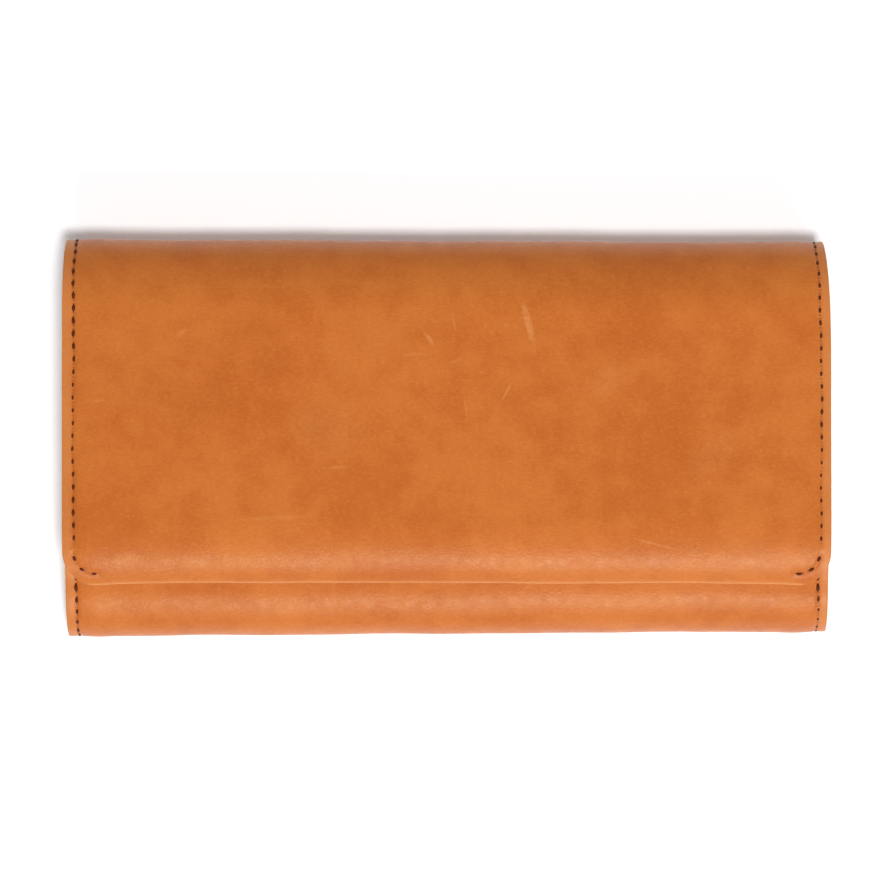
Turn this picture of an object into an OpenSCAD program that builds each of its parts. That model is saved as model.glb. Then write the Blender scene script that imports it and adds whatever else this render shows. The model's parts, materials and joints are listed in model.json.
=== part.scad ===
// Long flap wallet in oiled leather, closed and lying on its back.
// Units are millimetres. X runs along the width, Y from the bottom fold to the spine,
// and Z up from the back face. The origin is the centre of the outline, on the back face.
// One sheet of outer leather runs front, bottom fold, back, spine and flap. It is split into
// panels where it bends in use, and each bend turns about a line on its outer surface.

/* [Wallet] */
// Width of the wallet, along X
wallet_w = 190; // [155:1:230]
// Height of the closed wallet, from the bottom fold to the spine
wallet_h = 98.5; // [82:0.5:120]
// Strip of the front that the closed flap leaves bare
flap_reveal = 12.8; // [10.5:0.1:15.5]
// Radius of the flap's two free corners
flap_corner_r = 8; // [6.5:0.1:10]
// How far the mouth of the front compartment lies below the spine
mouth_drop = 16.25; // [15:0.25:20]

/* [Leather] */
// Thickness of the outer leather
shell_t = 1.5; // [1.2:0.05:1.8]
// Thickness of the lining leather
lining_t = 0.8; // [0.65:0.05:1]
// Thickness of each card pocket
card_t = 0.7; // [0.55:0.05:0.9]
// Thickness of the zip pocket's two walls
pocket_t = 0.9; // [0.7:0.05:1.1]
// Thickness of the side gussets
gusset_t = 0.8; // [0.6:0.05:1]

/* [Compartments] */
// Depth of the rear note compartment
rear_gap = 4.6; // [3.8:0.1:5.6]
// Depth of the zipped coin pocket
coin_gap = 4.4; // [3.6:0.1:5.4]
// Depth of the front note compartment
front_gap = 4.6; // [3.8:0.1:5.6]
// Gap between the closed flap and the front
flap_clear = 0.4; // [0.3:0.05:0.6]
// How far the gussets fold in from the wallet's sides
gusset_w = 13; // [10:0.5:16]

/* [Card pockets] */
// Number of card pockets stacked inside the flap
card_tiers = 3; // [1:1:3]
// Distance from the flap's free edge to the first pocket's mouth
card_mouth = 19; // [18.5:0.5:23]
// Step from one pocket's mouth to the next
card_step = 8; // [6:0.5:10]

/* [Zip] */
// Distance from each end of the chain of teeth to the wallet's side
zip_margin = 25; // [20:0.5:32]
// Distance from one tooth to the next on the same tape
tooth_pitch = 2; // [1.6:0.1:2.4]
// Length of the slider along the chain
slider_l = 9; // [7.5:0.5:11]
// Length of the leather tab on the slider's pull
tab_l = 18; // [14:0.5:22]

/* [Snap] */
// Outer radius of the magnetic snap
snap_r = 5; // [4.2:0.1:6]
// Radius of the post that locates the snap
post_r = 2.2; // [1.8:0.1:2.6]
// Distance from the flap's free edge to the snap's centre
snap_inset = 12; // [11:0.5:13]

/* [Stitching] */
// Distance from one stitch to the next
stitch_pitch = 3.15; // [2.6:0.05:3.8]
// Length of one stitch
stitch_l = 2.2; // [1.8:0.1:2.5]
// Width of the waxed thread
thread_w = 0.6; // [0.5:0.05:0.8]
// Distance from the leather's cut side to the stitch line
stitch_inset = 2.8; // [2.3:0.1:3.4]

/* [Hidden] */
$fn = 48;
half_w = wallet_w / 2;
spine_y = wallet_h / 2;
fold_y = -wallet_h / 2;
flap_edge_y = fold_y + flap_reveal;
wall_t = shell_t + lining_t;

// Heights of the layers, from the back face up
back_in_z = wall_t;
coin_z0 = back_in_z + rear_gap + pocket_t;
coin_z1 = coin_z0 + coin_gap;
pocket_top_z = coin_z1 + pocket_t;
front_z = pocket_top_z + front_gap + wall_t;
top_z = front_z + flap_clear + card_tiers * card_t + wall_t;

// Gap left in the leather at each bend that opens, and the height of the bottom bend
hinge_gap = 0.3;
fold_z = 5;

// Lengths of the stretches of the outer sheet, measured along Y
front_slope_l = 39.25;
fold_l = 6.5;
spine_lower_l = 13.25;
spine_upper_l = 25.25;
flap_roll_l = 16.45;
edge_slope = 50;
edge_gap = 0.6;
front_top_y = spine_y - mouth_drop;
front_flat_y = fold_y + front_slope_l;

// Zip pocket: top edge, where its walls start to slope, and where they meet
pocket_y1 = front_top_y - 4;
pocket_slope_y = fold_y + 25.25;
pocket_end_y = fold_y + 5.5;
pocket_end_z = 5.6;
pocket_half_w = half_w - 0.8;
pocket_side_t = 1;

// Zip: tape, teeth, slider and pull
zip_z = (coin_z0 + coin_z1) / 2;
zip_half_l = half_w - zip_margin;
tape_t = 0.4;
tape_y0 = pocket_y1 - 8;
tape_y1 = pocket_y1 + 3;
tape_half_l = zip_half_l + 7;
tooth_h = 1.4;
tooth_w = tooth_pitch / 2 - 0.15;
tooth_root = coin_gap / 2 + 0.1;
tooth_overlap = 0.7;
tooth_y1 = tape_y1 + tooth_h;
slider_gap = 0.3;
slider_t = 0.9;
flange_in = tooth_root + 0.2;
flange_out = flange_in + 0.7;
slider_y1 = tooth_y1 + slider_gap + slider_t;
crown_h = 2.6;
pivot_y = slider_y1 + crown_h / 2;
pin_hole_r = 0.9;
pin_r = 0.55;
slider_rest_x = slider_l / 2 - zip_half_l;
link_l = 7;
link_in = 1.2;
link_out = 2.2;
tab_half_w = 2.6;
tab_half_t = 0.9;
stop_l = 1.8;

// Gussets: the fold, the outer edge and the gap between the two leaves' lips
gusset_x0 = half_w - gusset_w;
gusset_x1 = pocket_half_w;
lip_gap = 0.4;

// Card pockets: each is a little narrower than the flap, and they share one bottom seam
layer_step = 0.3;
card_bottom_y = spine_y - 22.25;
card_half_w = half_w - 2 * layer_step;

// Snap: heights along its own axis, from the front's outer surface
snap_y = flap_edge_y + snap_inset;
snap_sink = 0.25;
socket_h = 1.8;
socket_floor = 0.4;
post_gap = 0.5;
snap_gap = 0.3;
post_h = 1.1;
neck_r = 1.5;
washer_r = snap_r - 1;
washer_t = 0.4;
fit_gap = 0.05;

// Stitches stand this far out of the leather and go this deep into it
stitch_proud = 0.15;
stitch_deep = 0.25;
flush = -0.1;
// Least distance from a panel's end to its first stitch
stitch_end = 0.3;

leather = "#c8703a";
leather_in = "#b98a5e";
thread = "#4a2c1c";
brass = "#b59a5b";
nickel = "#b9b9b6";
tape_cloth = "#5a3d28";

// ---- Curves: a frame is [point, unit tangent] in the Y-Z plane ----

// Point on a cubic curve with control points p
function cubic(p, t) = pow(1 - t, 3) * p[0] + 3 * pow(1 - t, 2) * t * p[1]
    + 3 * (1 - t) * t * t * p[2] + pow(t, 3) * p[3];
// Speed along that curve
function cubic_speed(p, t) = 3 * (pow(1 - t, 2) * (p[1] - p[0])
    + 2 * (1 - t) * t * (p[2] - p[1]) + t * t * (p[3] - p[2]));
function unit(v) = v / norm(v);
// Frames along the cubic from t0 to t1, in n steps
function curve(p, t0, t1, n) = [for (i = [0 : n]) let (t = t0 + (t1 - t0) * i / n)
    [cubic(p, t), unit(cubic_speed(p, t))]];
// The curve's parameter a distance d past t
function past(p, t, d) = t + d / norm(cubic_speed(p, t));
// Points a distance d to the left of the frames, which is towards the wallet's inside
function beside(frames, d) = [for (f = frames) f[0] + d * [-f[1][1], f[1][0]]];
function after_first(list) = [for (i = [1 : len(list) - 1]) list[i]];
function backwards(list) = [for (i = [len(list) - 1 : -1 : 0]) list[i]];
// Outline of a sheet between the depths d0 and d1
function band(frames, d0, d1) = concat(beside(frames, d0), backwards(beside(frames, d1)));
// Distance along the frames to each of them
function distances(frames) = [for (i = 0, s = 0; i < len(frames);
    s = s + (i < len(frames) - 1 ? norm(frames[i + 1][0] - frames[i][0]) : 0), i = i + 1) s];
function path_length(frames) = let (s = distances(frames)) s[len(s) - 1];
// Frame where the table of keys takes the value k
function frame_where(frames, keys, k) = [
    [for (c = [0, 1]) lookup(k, [for (i = [0 : len(frames) - 1]) [keys[i], frames[i][0][c]]])],
    unit([for (c = [0, 1]) lookup(k, [for (i = [0 : len(frames) - 1]) [keys[i], frames[i][1][c]]])])];
function frame_along(frames, s) = frame_where(frames, distances(frames), s);
function frame_at_y(frames, y) = frame_where(frames, [for (f = frames) f[0][0]], y);
// Height of a line of points at y
function height_at(points, y) = lookup(y, points);

front_hinge = [fold_y, fold_z];
front_roll = [[front_flat_y, front_z], [front_flat_y - 16, front_z],
    [fold_y, 0.78 * front_z], front_hinge];
fold_roll = [front_hinge, [fold_y, 0.4 * fold_z], [fold_y + 2.9, 0], [fold_y + fold_l, 0]];
spine_lower = [[spine_y - spine_lower_l, 0], [spine_y - 5.25, 0],
    [spine_y, top_z / 2 - 6.4], [spine_y, top_z / 2]];
spine_upper = [[spine_y, top_z / 2], [spine_y, top_z / 2 + 7],
    [spine_y - 9.25, top_z], [spine_y - spine_upper_l, top_z]];

front_path = concat([[[front_top_y, front_z], [-1, 0]]], curve(front_roll, 0, 1, 16));
fold_path = curve(fold_roll, 0, 1, 8);

// Flap's free edge: it rests a small gap above the front, sloping down at edge_slope
front_surface = beside(front_path, 0);
flap_edge_z = height_at(front_surface, flap_edge_y + wall_t * sin(edge_slope))
    + edge_gap + wall_t * cos(edge_slope);
flap_end = [flap_edge_y, flap_edge_z];
flap_roll = [[flap_edge_y + flap_roll_l, top_z], [flap_edge_y + 9.45, top_z],
    flap_end + 4.65 * [cos(edge_slope), sin(edge_slope)], flap_end];

// The two bends of the spine, as parameters of its curves
bend_1 = 0.5;
bend_2 = 0.45;

back_path = concat([[[fold_y + fold_l, 0], [1, 0]]], curve(spine_lower, 0, bend_1, 7));
spine_path = concat(curve(spine_lower, past(spine_lower, bend_1, hinge_gap), 1, 6),
    after_first(curve(spine_upper, 0, bend_2, 5)));
flap_path = concat(curve(spine_upper, past(spine_upper, bend_2, hinge_gap), 1, 8),
    curve(flap_roll, 0, 1, 12));
front_panel_path = concat([front_path[0]], curve(front_roll, 0, past(front_roll, 1, -hinge_gap), 18));
front_lining_path = [for (i = [0 : len(front_panel_path) - 3]) front_panel_path[i]];
back_lining_path = concat([[[fold_y + fold_l + 0.5, 0], [1, 0]]], after_first(back_path));
card_path = concat([frame_at_y(flap_path, card_bottom_y)],
    [for (f = flap_path) if (f[0][0] < card_bottom_y - 0.5) f]);

// Zip pocket's surfaces as lines in the Y-Z plane: inside of the rear wall, inside of the front wall
coin_rear_line = [[pocket_y1, coin_z0], [pocket_slope_y, coin_z0], [pocket_end_y, pocket_end_z]];
coin_front_line = [[pocket_y1, coin_z1], [pocket_slope_y, coin_z1], [pocket_end_y, pocket_end_z]];

function lifted(line, dz) = [for (p = line) p + [0, dz]];

// ---- Shared shapes ----

// A Y-Z outline drawn out along X, from x0 to x1
module drawn(points, x0, x1) translate([x0, 0, 0]) rotate([90, 0, 90])
    linear_extrude(x1 - x0) polygon(points);

// A sheet that follows a path, between two depths, centred on X = 0
module sheet(path, d0, d1, half) drawn(band(path, d0, d1), -half, half);

// One stitch on a path's frame: turned by spin in the leather's plane, proud of it or flush.
// The pit that holds it is the same box, open outwards.
module stitch(frame, x, spin, proud, pit) translate([x, frame[0][0], frame[0][1]])
    rotate([atan2(frame[1][1], frame[1][0]), 0, 0]) rotate([0, 0, spin])
        translate([-thread_w / 2, -stitch_l / 2, pit ? -1 : -proud])
            cube([thread_w, stitch_l, stitch_deep + (pit ? 1 : proud)]);

// A row of stitches along the whole of a path
module stitch_row(path, x, proud, pit) {
    free = path_length(path) - stitch_l - 2 * stitch_end;
    for (i = [0 : floor(free / stitch_pitch)])
        stitch(frame_along(path, stitch_end + stitch_l / 2 + i * stitch_pitch), x, 0, proud, pit);
}

// The same row on both sides of the wallet
module side_rows(path, proud, pit) for (side = [-1, 1])
    stitch_row(path, side * (half_w - stitch_inset), proud, pit);

// Outline of the flap seen from above, inset all round
module flap_outline(inset) {
    half = half_w - inset;
    r = flap_corner_r - inset;
    edge = flap_edge_y + inset;
    translate([-half, edge + r]) square([2 * half, spine_y + 1 - edge - r]);
    translate([r - half, edge]) square([2 * (half - r), r + 1]);
    for (side = [-1, 1]) translate([side * (half - r), edge + r]) circle(r);
}

module trimmed_to_flap(inset) intersection() {
    children();
    linear_extrude(top_z + 5) flap_outline(inset);
}

// The snap's own frame: its centre on the front's surface, its axis square to it
snap_frame = frame_at_y(front_path, snap_y);
snap_tilt = atan2(snap_frame[1][1], snap_frame[1][0]) + 180;
module on_snap() translate([0, snap_frame[0][0], snap_frame[0][1]]) rotate([snap_tilt, 0, 0]) children();

// A point's place across and along the snap's axis
function across_snap(p) = [(p - snap_frame[0]) * [cos(snap_tilt), sin(snap_tilt)],
    (p - snap_frame[0]) * [-sin(snap_tilt), cos(snap_tilt)]];
// Height along that axis, at a distance across it, of the flap's layer at a depth
function flap_height(depth, across) = lookup(across,
    [for (p = beside(curve(flap_roll, 0, 1, 24), depth)) across_snap(p)]);
// The stud's plate seats on the lining, and its edge stays clear of the outer leather
stud_seat = min(flap_height(wall_t, 0), flap_height(shell_t, -snap_r) - fit_gap);
stud_z0 = socket_h + snap_gap;
stud_washer_z = stud_seat + lining_t - 0.3;
socket_washer_z = -shell_t - washer_t / 2;

// A disc along the snap's axis
module disc(r, z0, z1) on_snap() translate([0, 0, z0]) cylinder(r = r, h = z1 - z0);

// ---- Back ----

module back_rows(pit) side_rows(back_path, flush, pit);
module fold_rows(pit) side_rows(fold_path, flush, pit);

module back_panel() color(leather) difference() {
    sheet(back_path, 0, shell_t, half_w);
    back_rows(true);
}

module bottom_fold() color(leather) difference() {
    sheet(fold_path, 0, shell_t, half_w);
    fold_rows(true);
}

module back_lining() color(leather_in) sheet(back_lining_path, shell_t, wall_t, half_w - layer_step);

module back_stitching() color(thread) {
    back_rows(false);
    fold_rows(false);
}

// A gusset is a leaf on a wall, with a lip along its inner edge that ends near the gap's middle
module gusset(leaf, lip, side) color(leather_in) mirror([side < 0 ? 1 : 0, 0, 0]) {
    drawn(leaf, gusset_x0, gusset_x1);
    drawn(lip, gusset_x0, gusset_x0 + gusset_t);
}

function slab(y0, y1, z0, z1) = [[y0, z0], [y1, z0], [y1, z1], [y0, z1]];
rear_mid_z = back_in_z + rear_gap / 2;
rear_wall_z = coin_z0 - pocket_t;

module rear_gusset_back(side) gusset(
    slab(pocket_slope_y, pocket_y1, back_in_z, back_in_z + gusset_t),
    slab(pocket_slope_y, pocket_y1, back_in_z, rear_mid_z - lip_gap / 2), side);
module rear_gusset_back_left() rear_gusset_back(-1);
module rear_gusset_back_right() rear_gusset_back(1);

// ---- Spine ----

module spine_panel() color(leather) difference() {
    sheet(spine_path, 0, shell_t, half_w);
    side_rows(spine_path, flush, true);
}

module spine_lining() color(leather_in) sheet(spine_path, shell_t, wall_t, half_w - layer_step);

module spine_stitching() color(thread) side_rows(spine_path, flush, false);

// ---- Flap ----

corner_stitch_r = flap_corner_r - stitch_inset;
flap_straight = [for (f = flap_path) if (f[0][0] > flap_edge_y + flap_corner_r) f];

// Side rows and the few stitches that follow each rounded corner
module flap_rows(pit) {
    side_rows(flap_straight, stitch_proud, pit);
    for (side = [-1, 1], turn = [17, 52, 87])
        stitch(frame_at_y(flap_path, flap_edge_y + flap_corner_r - corner_stitch_r * sin(turn)),
            side * (half_w - flap_corner_r + corner_stitch_r * cos(turn)), side * turn,
            stitch_proud, pit);
}

module flap_panel() color(leather) difference() {
    trimmed_to_flap(0) sheet(flap_path, 0, shell_t, half_w);
    flap_rows(true);
    disc(washer_r + fit_gap, stud_washer_z, stud_washer_z + washer_t);
}

module flap_lining() color(leather_in) difference() {
    trimmed_to_flap(layer_step) sheet(flap_path, shell_t, wall_t, half_w - layer_step);
    disc(snap_r + fit_gap, stud_z0, stud_seat);
    disc(neck_r + fit_gap, stud_z0, stud_washer_z + washer_t);
    disc(washer_r + fit_gap, stud_washer_z, stud_washer_z + washer_t);
}

function card_depth(tier) = wall_t + (tier - 1) * card_t;
function card_mouth_y(tier) = flap_edge_y + card_mouth + (tier - 1) * card_step;
function card_tier_path(tier) = concat([for (f = card_path) if (f[0][0] > card_mouth_y(tier)) f],
    [frame_at_y(flap_path, card_mouth_y(tier))]);

// Bottom seam across all the pockets, and the seam down the middle that makes two columns
module card_rows(pit) {
    deep = card_depth(card_tiers) + card_t;
    bottom = frame_at_y(flap_path, card_bottom_y - 1.5);
    seat = [bottom[0] + deep * [-bottom[1][1], bottom[1][0]], -bottom[1]];
    reach = card_half_w - stitch_inset;
    for (i = [0 : floor(2 * reach / stitch_pitch)])
        stitch(seat, i * stitch_pitch - reach, 90, flush, pit);
    for (tier = [1 : card_tiers]) {
        y1 = tier == card_tiers ? card_bottom_y - 3 : card_mouth_y(tier + 1) - 0.6;
        depth = card_depth(tier) + card_t;
        for (y = [y1 - stitch_l / 2 : -stitch_pitch : card_mouth_y(tier) + stitch_l / 2 + 0.4]) {
            f = frame_at_y(flap_path, y);
            stitch([f[0] + depth * [-f[1][1], f[1][0]], -f[1]], 0, 0, flush, pit);
        }
    }
}

module card_pocket(tier) color(leather_in) if (tier <= card_tiers) difference() {
    sheet(card_tier_path(tier), card_depth(tier), card_depth(tier) + card_t, card_half_w);
    card_rows(true);
}
module card_pocket_1() card_pocket(1);
module card_pocket_2() card_pocket(2);
module card_pocket_3() card_pocket(3);

module card_stitching() color(thread) card_rows(false);
module flap_stitching() color(thread) flap_rows(false);

// Half of the snap on the flap: a plate with the locating post, and a neck through the lining
module snap_stud() color(nickel) {
    disc(snap_r, stud_z0, stud_seat);
    disc(post_r, stud_z0 - post_h, stud_z0);
    disc(neck_r, stud_seat, stud_washer_z + washer_t);
}

module snap_stud_washer() color(nickel) difference() {
    disc(washer_r, stud_washer_z, stud_washer_z + washer_t);
    disc(neck_r + fit_gap, stud_washer_z - 1, stud_washer_z + 1);
}

// ---- Zip pocket ----

// Stitches along X, across the walls' outer faces, that hold the tapes
module tape_row(z, down, pit) {
    reach = tape_half_l - 2;
    frame = [[(tape_y0 + pocket_y1) / 2, z], [down ? 1 : -1, 0]];
    for (i = [0 : floor(2 * reach / stitch_pitch)])
        stitch(frame, i * stitch_pitch - reach, 90, stitch_proud, pit);
}

module pocket_rear_wall() color(leather_in) difference() {
    drawn(concat(coin_rear_line, backwards(lifted(coin_rear_line, -pocket_t))),
        -pocket_half_w, pocket_half_w);
    tape_row(rear_wall_z, true, true);
}

// Front wall, with the strip down each side that closes the coin pocket
module pocket_front_wall() color(leather_in) difference() {
    union() {
        drawn(concat(coin_front_line, backwards(lifted(coin_front_line, pocket_t))),
            -pocket_half_w, pocket_half_w);
        for (x = [-pocket_half_w, pocket_half_w - pocket_side_t])
            drawn(concat(coin_rear_line, backwards(coin_front_line)), x, x + pocket_side_t);
    }
    tape_row(pocket_top_z, false, true);
}

module rear_gusset_pocket(side) gusset(
    slab(pocket_slope_y, pocket_y1, rear_wall_z - gusset_t, rear_wall_z),
    slab(pocket_slope_y, pocket_y1, rear_mid_z + lip_gap / 2, rear_wall_z), side);
module rear_gusset_pocket_left() rear_gusset_pocket(-1);
module rear_gusset_pocket_right() rear_gusset_pocket(1);

// The front compartment's middle line, halfway from the pocket to the front's inner surface
front_inner = beside(front_lining_path, wall_t);
function front_mid(y) = (pocket_top_z + height_at(front_inner, y)) / 2;
gusset_ys = [for (i = [0 : 8]) pocket_slope_y + (pocket_y1 - pocket_slope_y) * i / 8];
front_mid_line = [for (y = gusset_ys) [y, front_mid(y)]];

module front_gusset_pocket(side) gusset(
    slab(pocket_slope_y, pocket_y1, pocket_top_z, pocket_top_z + gusset_t),
    concat([[pocket_y1, pocket_top_z], [pocket_slope_y, pocket_top_z]],
        lifted(front_mid_line, -lip_gap / 2)), side);
module front_gusset_pocket_left() front_gusset_pocket(-1);
module front_gusset_pocket_right() front_gusset_pocket(1);

// Mirrors the front tape's half of the zip to the rear
module zip_half(rear) translate([0, 0, zip_z]) mirror([0, 0, rear ? 1 : 0]) children();

module zip_tape(rear) color(tape_cloth) zip_half(rear)
    translate([-tape_half_l, tape_y0, coin_gap / 2 - tape_t])
        cube([2 * tape_half_l, tape_y1 - tape_y0, tape_t]);
module zip_tape_rear() zip_tape(true);
module zip_tape_front() zip_tape(false);

// Teeth of one tape; the other tape's are half a pitch along
module zip_teeth(rear) color(brass) zip_half(rear)
    for (x = [(rear ? 0 : tooth_pitch / 2) - zip_half_l : tooth_pitch : zip_half_l - tooth_w])
        translate([x, tape_y1, -tooth_overlap]) cube([tooth_w, tooth_h, tooth_root + tooth_overlap]);
module zip_teeth_rear() zip_teeth(true);
module zip_teeth_front() zip_teeth(false);

module zip_end_stops() color(brass) for (x = [-zip_half_l - stop_l - 0.2, zip_half_l + 0.2])
    translate([x, tape_y1, zip_z - tooth_root])
        cube([stop_l, slider_y1 - tape_y1 - 0.3, 2 * tooth_root]);

module zip_stitching() color(thread) {
    tape_row(rear_wall_z, true, false);
    tape_row(pocket_top_z, false, false);
}

// Slider: a channel over the teeth, with a drilled crown that carries the pull
module zip_slider() color(nickel) translate([slider_rest_x, 0, zip_z]) difference() {
    union() {
        translate([-slider_l / 2, tooth_y1 + slider_gap, -flange_out])
            cube([slider_l, slider_t, 2 * flange_out]);
        for (z = [-flange_out, flange_in]) translate([-slider_l / 2, tape_y1 - 0.4, z])
            cube([slider_l, slider_y1 - tape_y1 + 0.4, flange_out - flange_in]);
        translate([-2, slider_y1 - 0.1, -0.6]) cube([4, crown_h + 0.1, 1.2]);
    }
    translate([0, pivot_y, -1]) cylinder(r = pin_hole_r, h = 2);
}

module link_shape(grow) {
    translate([0, 0, -link_out - grow]) cylinder(r = pin_r + grow, h = 2 * (link_out + grow));
    for (z = [-link_out, link_in]) translate([-pin_r - grow, -pin_r + 0.1 - grow, z - grow])
        cube([link_l + pin_r + 2 * grow, 2 * (pin_r - 0.1 + grow), link_out - link_in + 2 * grow]);
    translate([link_l - 1 - grow, -pin_r + 0.1 - grow, -link_out - grow])
        cube([1 + 2 * grow, 2 * (pin_r - 0.1 + grow), 2 * (link_out + grow)]);
}

module on_pull() translate([slider_rest_x, pivot_y, zip_z]) children();

module zip_pull_link() color(nickel) on_pull() link_shape(0);

module zip_pull_tab() color(leather) on_pull() difference() {
    translate([link_l - 1.8, -tab_half_t, -tab_half_w]) cube([tab_l, 2 * tab_half_t, 2 * tab_half_w]);
    link_shape(fit_gap);
}

// ---- Front ----

module front_rows(pit) side_rows(front_panel_path, stitch_proud, pit);

module front_panel() color(leather) difference() {
    sheet(front_panel_path, 0, shell_t, half_w);
    front_rows(true);
    disc(snap_r + fit_gap, -snap_sink, socket_h);
    disc(neck_r + fit_gap, -wall_t, 0);
    disc(washer_r + fit_gap, socket_washer_z, socket_washer_z + washer_t);
}

module front_lining() color(leather_in) difference() {
    sheet(front_lining_path, shell_t, wall_t, half_w - layer_step);
    disc(washer_r + fit_gap, socket_washer_z, socket_washer_z + washer_t);
}

module front_gusset_front(side) {
    leaf_path = concat([frame_at_y(front_lining_path, pocket_y1)],
        [for (f = front_lining_path) if (f[0][0] < pocket_y1 && f[0][0] > pocket_slope_y) f]);
    leaf = band(leaf_path, wall_t, wall_t + gusset_t);
    bottom = [for (p = lifted(front_mid_line, lip_gap / 2)) if (p[0] > pocket_slope_y + 4) p];
    gusset(leaf, concat(bottom, beside([for (f = leaf_path) if (f[0][0] > pocket_slope_y + 4) f],
        wall_t)), side);
}
module front_gusset_front_left() front_gusset_front(-1);
module front_gusset_front_right() front_gusset_front(1);

module front_stitching() color(thread) front_rows(false);

// Half of the snap on the front: a cup for the post, with a ring magnet sealed in its wall
module magnet_ring(grow) difference() {
    disc(snap_r - 0.6 + grow, socket_floor - 0.2, socket_h - 0.5);
    disc(post_r + post_gap + 0.5 - grow, -1, socket_h + 1);
}

module snap_socket() color(nickel) difference() {
    union() {
        disc(snap_r, -snap_sink, socket_h);
        disc(neck_r, socket_washer_z, 0);
    }
    disc(post_r + post_gap, socket_floor, socket_h + 1);
    magnet_ring(0);
}

module snap_magnet() color("#5c5c60") magnet_ring(0);

module snap_socket_washer() color(nickel) difference() {
    disc(washer_r, socket_washer_z, socket_washer_z + washer_t);
    disc(neck_r + fit_gap, socket_washer_z - 1, socket_washer_z + 1);
}

// The lines the wallet bends about, in the Y-Z plane
echo(spine_bend = cubic(spine_lower, bend_1), flap_bend = cubic(spine_upper, bend_2),
    front_bend = front_hinge);

back_panel();
bottom_fold();
back_lining();
rear_gusset_back_left();
rear_gusset_back_right();
back_stitching();
spine_panel();
spine_lining();
spine_stitching();
flap_panel();
flap_lining();
card_pocket_1();
card_pocket_2();
card_pocket_3();
card_stitching();
flap_stitching();
snap_stud();
snap_stud_washer();
pocket_rear_wall();
pocket_front_wall();
rear_gusset_pocket_left();
rear_gusset_pocket_right();
front_gusset_pocket_left();
front_gusset_pocket_right();
zip_tape_rear();
zip_tape_front();
zip_teeth_rear();
zip_teeth_front();
zip_end_stops();
zip_stitching();
zip_slider();
zip_pull_link();
zip_pull_tab();
front_panel();
front_lining();
front_gusset_front_left();
front_gusset_front_right();
front_stitching();
snap_socket();
snap_magnet();
snap_socket_washer();
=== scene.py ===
# %% [markdown]
# # A long flap wallet in oiled leather
# The wallet is one long hide that runs from the mouth of the front, round the bottom fold, across
# the back, up the spine and over the front again as the flap. Everything else hangs inside it.
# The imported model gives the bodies, the places and the hinge lines, so it is loaded first.

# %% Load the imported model
import json
import math
import bpy
import numpy as np
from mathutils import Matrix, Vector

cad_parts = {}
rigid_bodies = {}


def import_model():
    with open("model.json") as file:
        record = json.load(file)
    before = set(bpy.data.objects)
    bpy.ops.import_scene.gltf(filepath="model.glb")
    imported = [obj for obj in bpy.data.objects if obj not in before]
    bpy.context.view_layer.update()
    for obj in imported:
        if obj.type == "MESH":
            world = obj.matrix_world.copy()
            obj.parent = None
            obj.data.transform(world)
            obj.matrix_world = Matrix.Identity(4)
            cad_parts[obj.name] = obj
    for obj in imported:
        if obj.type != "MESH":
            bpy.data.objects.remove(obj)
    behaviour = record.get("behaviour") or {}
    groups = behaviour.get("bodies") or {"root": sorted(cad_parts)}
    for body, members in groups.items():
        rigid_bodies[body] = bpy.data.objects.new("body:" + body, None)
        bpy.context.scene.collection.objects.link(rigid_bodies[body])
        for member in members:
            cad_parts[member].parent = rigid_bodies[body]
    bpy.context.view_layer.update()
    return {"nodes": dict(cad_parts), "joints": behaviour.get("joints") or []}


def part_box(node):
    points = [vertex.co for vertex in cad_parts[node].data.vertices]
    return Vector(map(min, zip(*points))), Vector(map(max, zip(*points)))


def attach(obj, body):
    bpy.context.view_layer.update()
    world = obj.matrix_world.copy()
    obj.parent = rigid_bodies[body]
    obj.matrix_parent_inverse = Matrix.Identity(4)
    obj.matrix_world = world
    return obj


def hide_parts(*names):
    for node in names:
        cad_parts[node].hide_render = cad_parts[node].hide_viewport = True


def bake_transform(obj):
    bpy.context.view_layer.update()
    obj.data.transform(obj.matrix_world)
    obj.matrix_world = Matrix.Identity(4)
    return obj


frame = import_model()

# %% [markdown]
# ## Measures
# Lengths are in metres, as everywhere in Blender, and MM keeps small ones readable. They could all
# be typed in here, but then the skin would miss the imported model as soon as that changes. So the
# outer sizes are read from it, and only the thicknesses and the stitches are set as numbers.

# %% Measures
MM = 0.001
back_box, flap_box, front_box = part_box("back_panel"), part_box("flap_panel"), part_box("front_panel")
spine_box, fold_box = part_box("spine_panel"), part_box("bottom_fold")
half_w = back_box[1].x
spine_y, fold_y = spine_box[1].y, fold_box[0].y
shell_t, lining_t, card_t, gusset_t = 1.5 * MM, 0.8 * MM, 0.7 * MM, 0.8 * MM
wall_t = shell_t + lining_t
flap_edge_y, top_z = flap_box[0].y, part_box("flap_lining")[1].z + shell_t
front_z, mouth_y = front_box[1].z, front_box[1].y
flap_corner_r = 8 * MM
stitch_pitch, stitch_l, stitch_inset = 3.15 * MM, 2.2 * MM, 2.8 * MM
print(f"wallet {2000 * half_w:.1f} x {1000 * (spine_y - fold_y):.1f} x {1000 * top_z:.1f} mm")

# %% [markdown]
# ## Camera, floor and light
# A product picture from straight above needs a long lens, so that the sides of the wallet stay out
# of sight. One soft lamp would light it evenly but leave the leather dull. So one lamp stands
# nearly overhead, a little to the lower right, and makes the shadow, and a long low softbox in
# front of the wallet draws the bright bands on its rolls. The room adds an even grey.

# %% Camera
camera_height, lens_mm, film_mm = 0.85, 136, 36
camera = bpy.data.objects.new("camera", bpy.data.cameras.new("camera"))
camera.data.lens, camera.data.sensor_width = lens_mm, film_mm
camera.location = (-1 * MM, 0, camera_height)
bpy.context.scene.collection.objects.link(camera)
bpy.context.scene.camera = camera
bpy.context.scene.view_settings.view_transform = "Standard"
print(f"view {1000 * camera_height * film_mm / lens_mm:.0f} mm wide on the floor")


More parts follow.
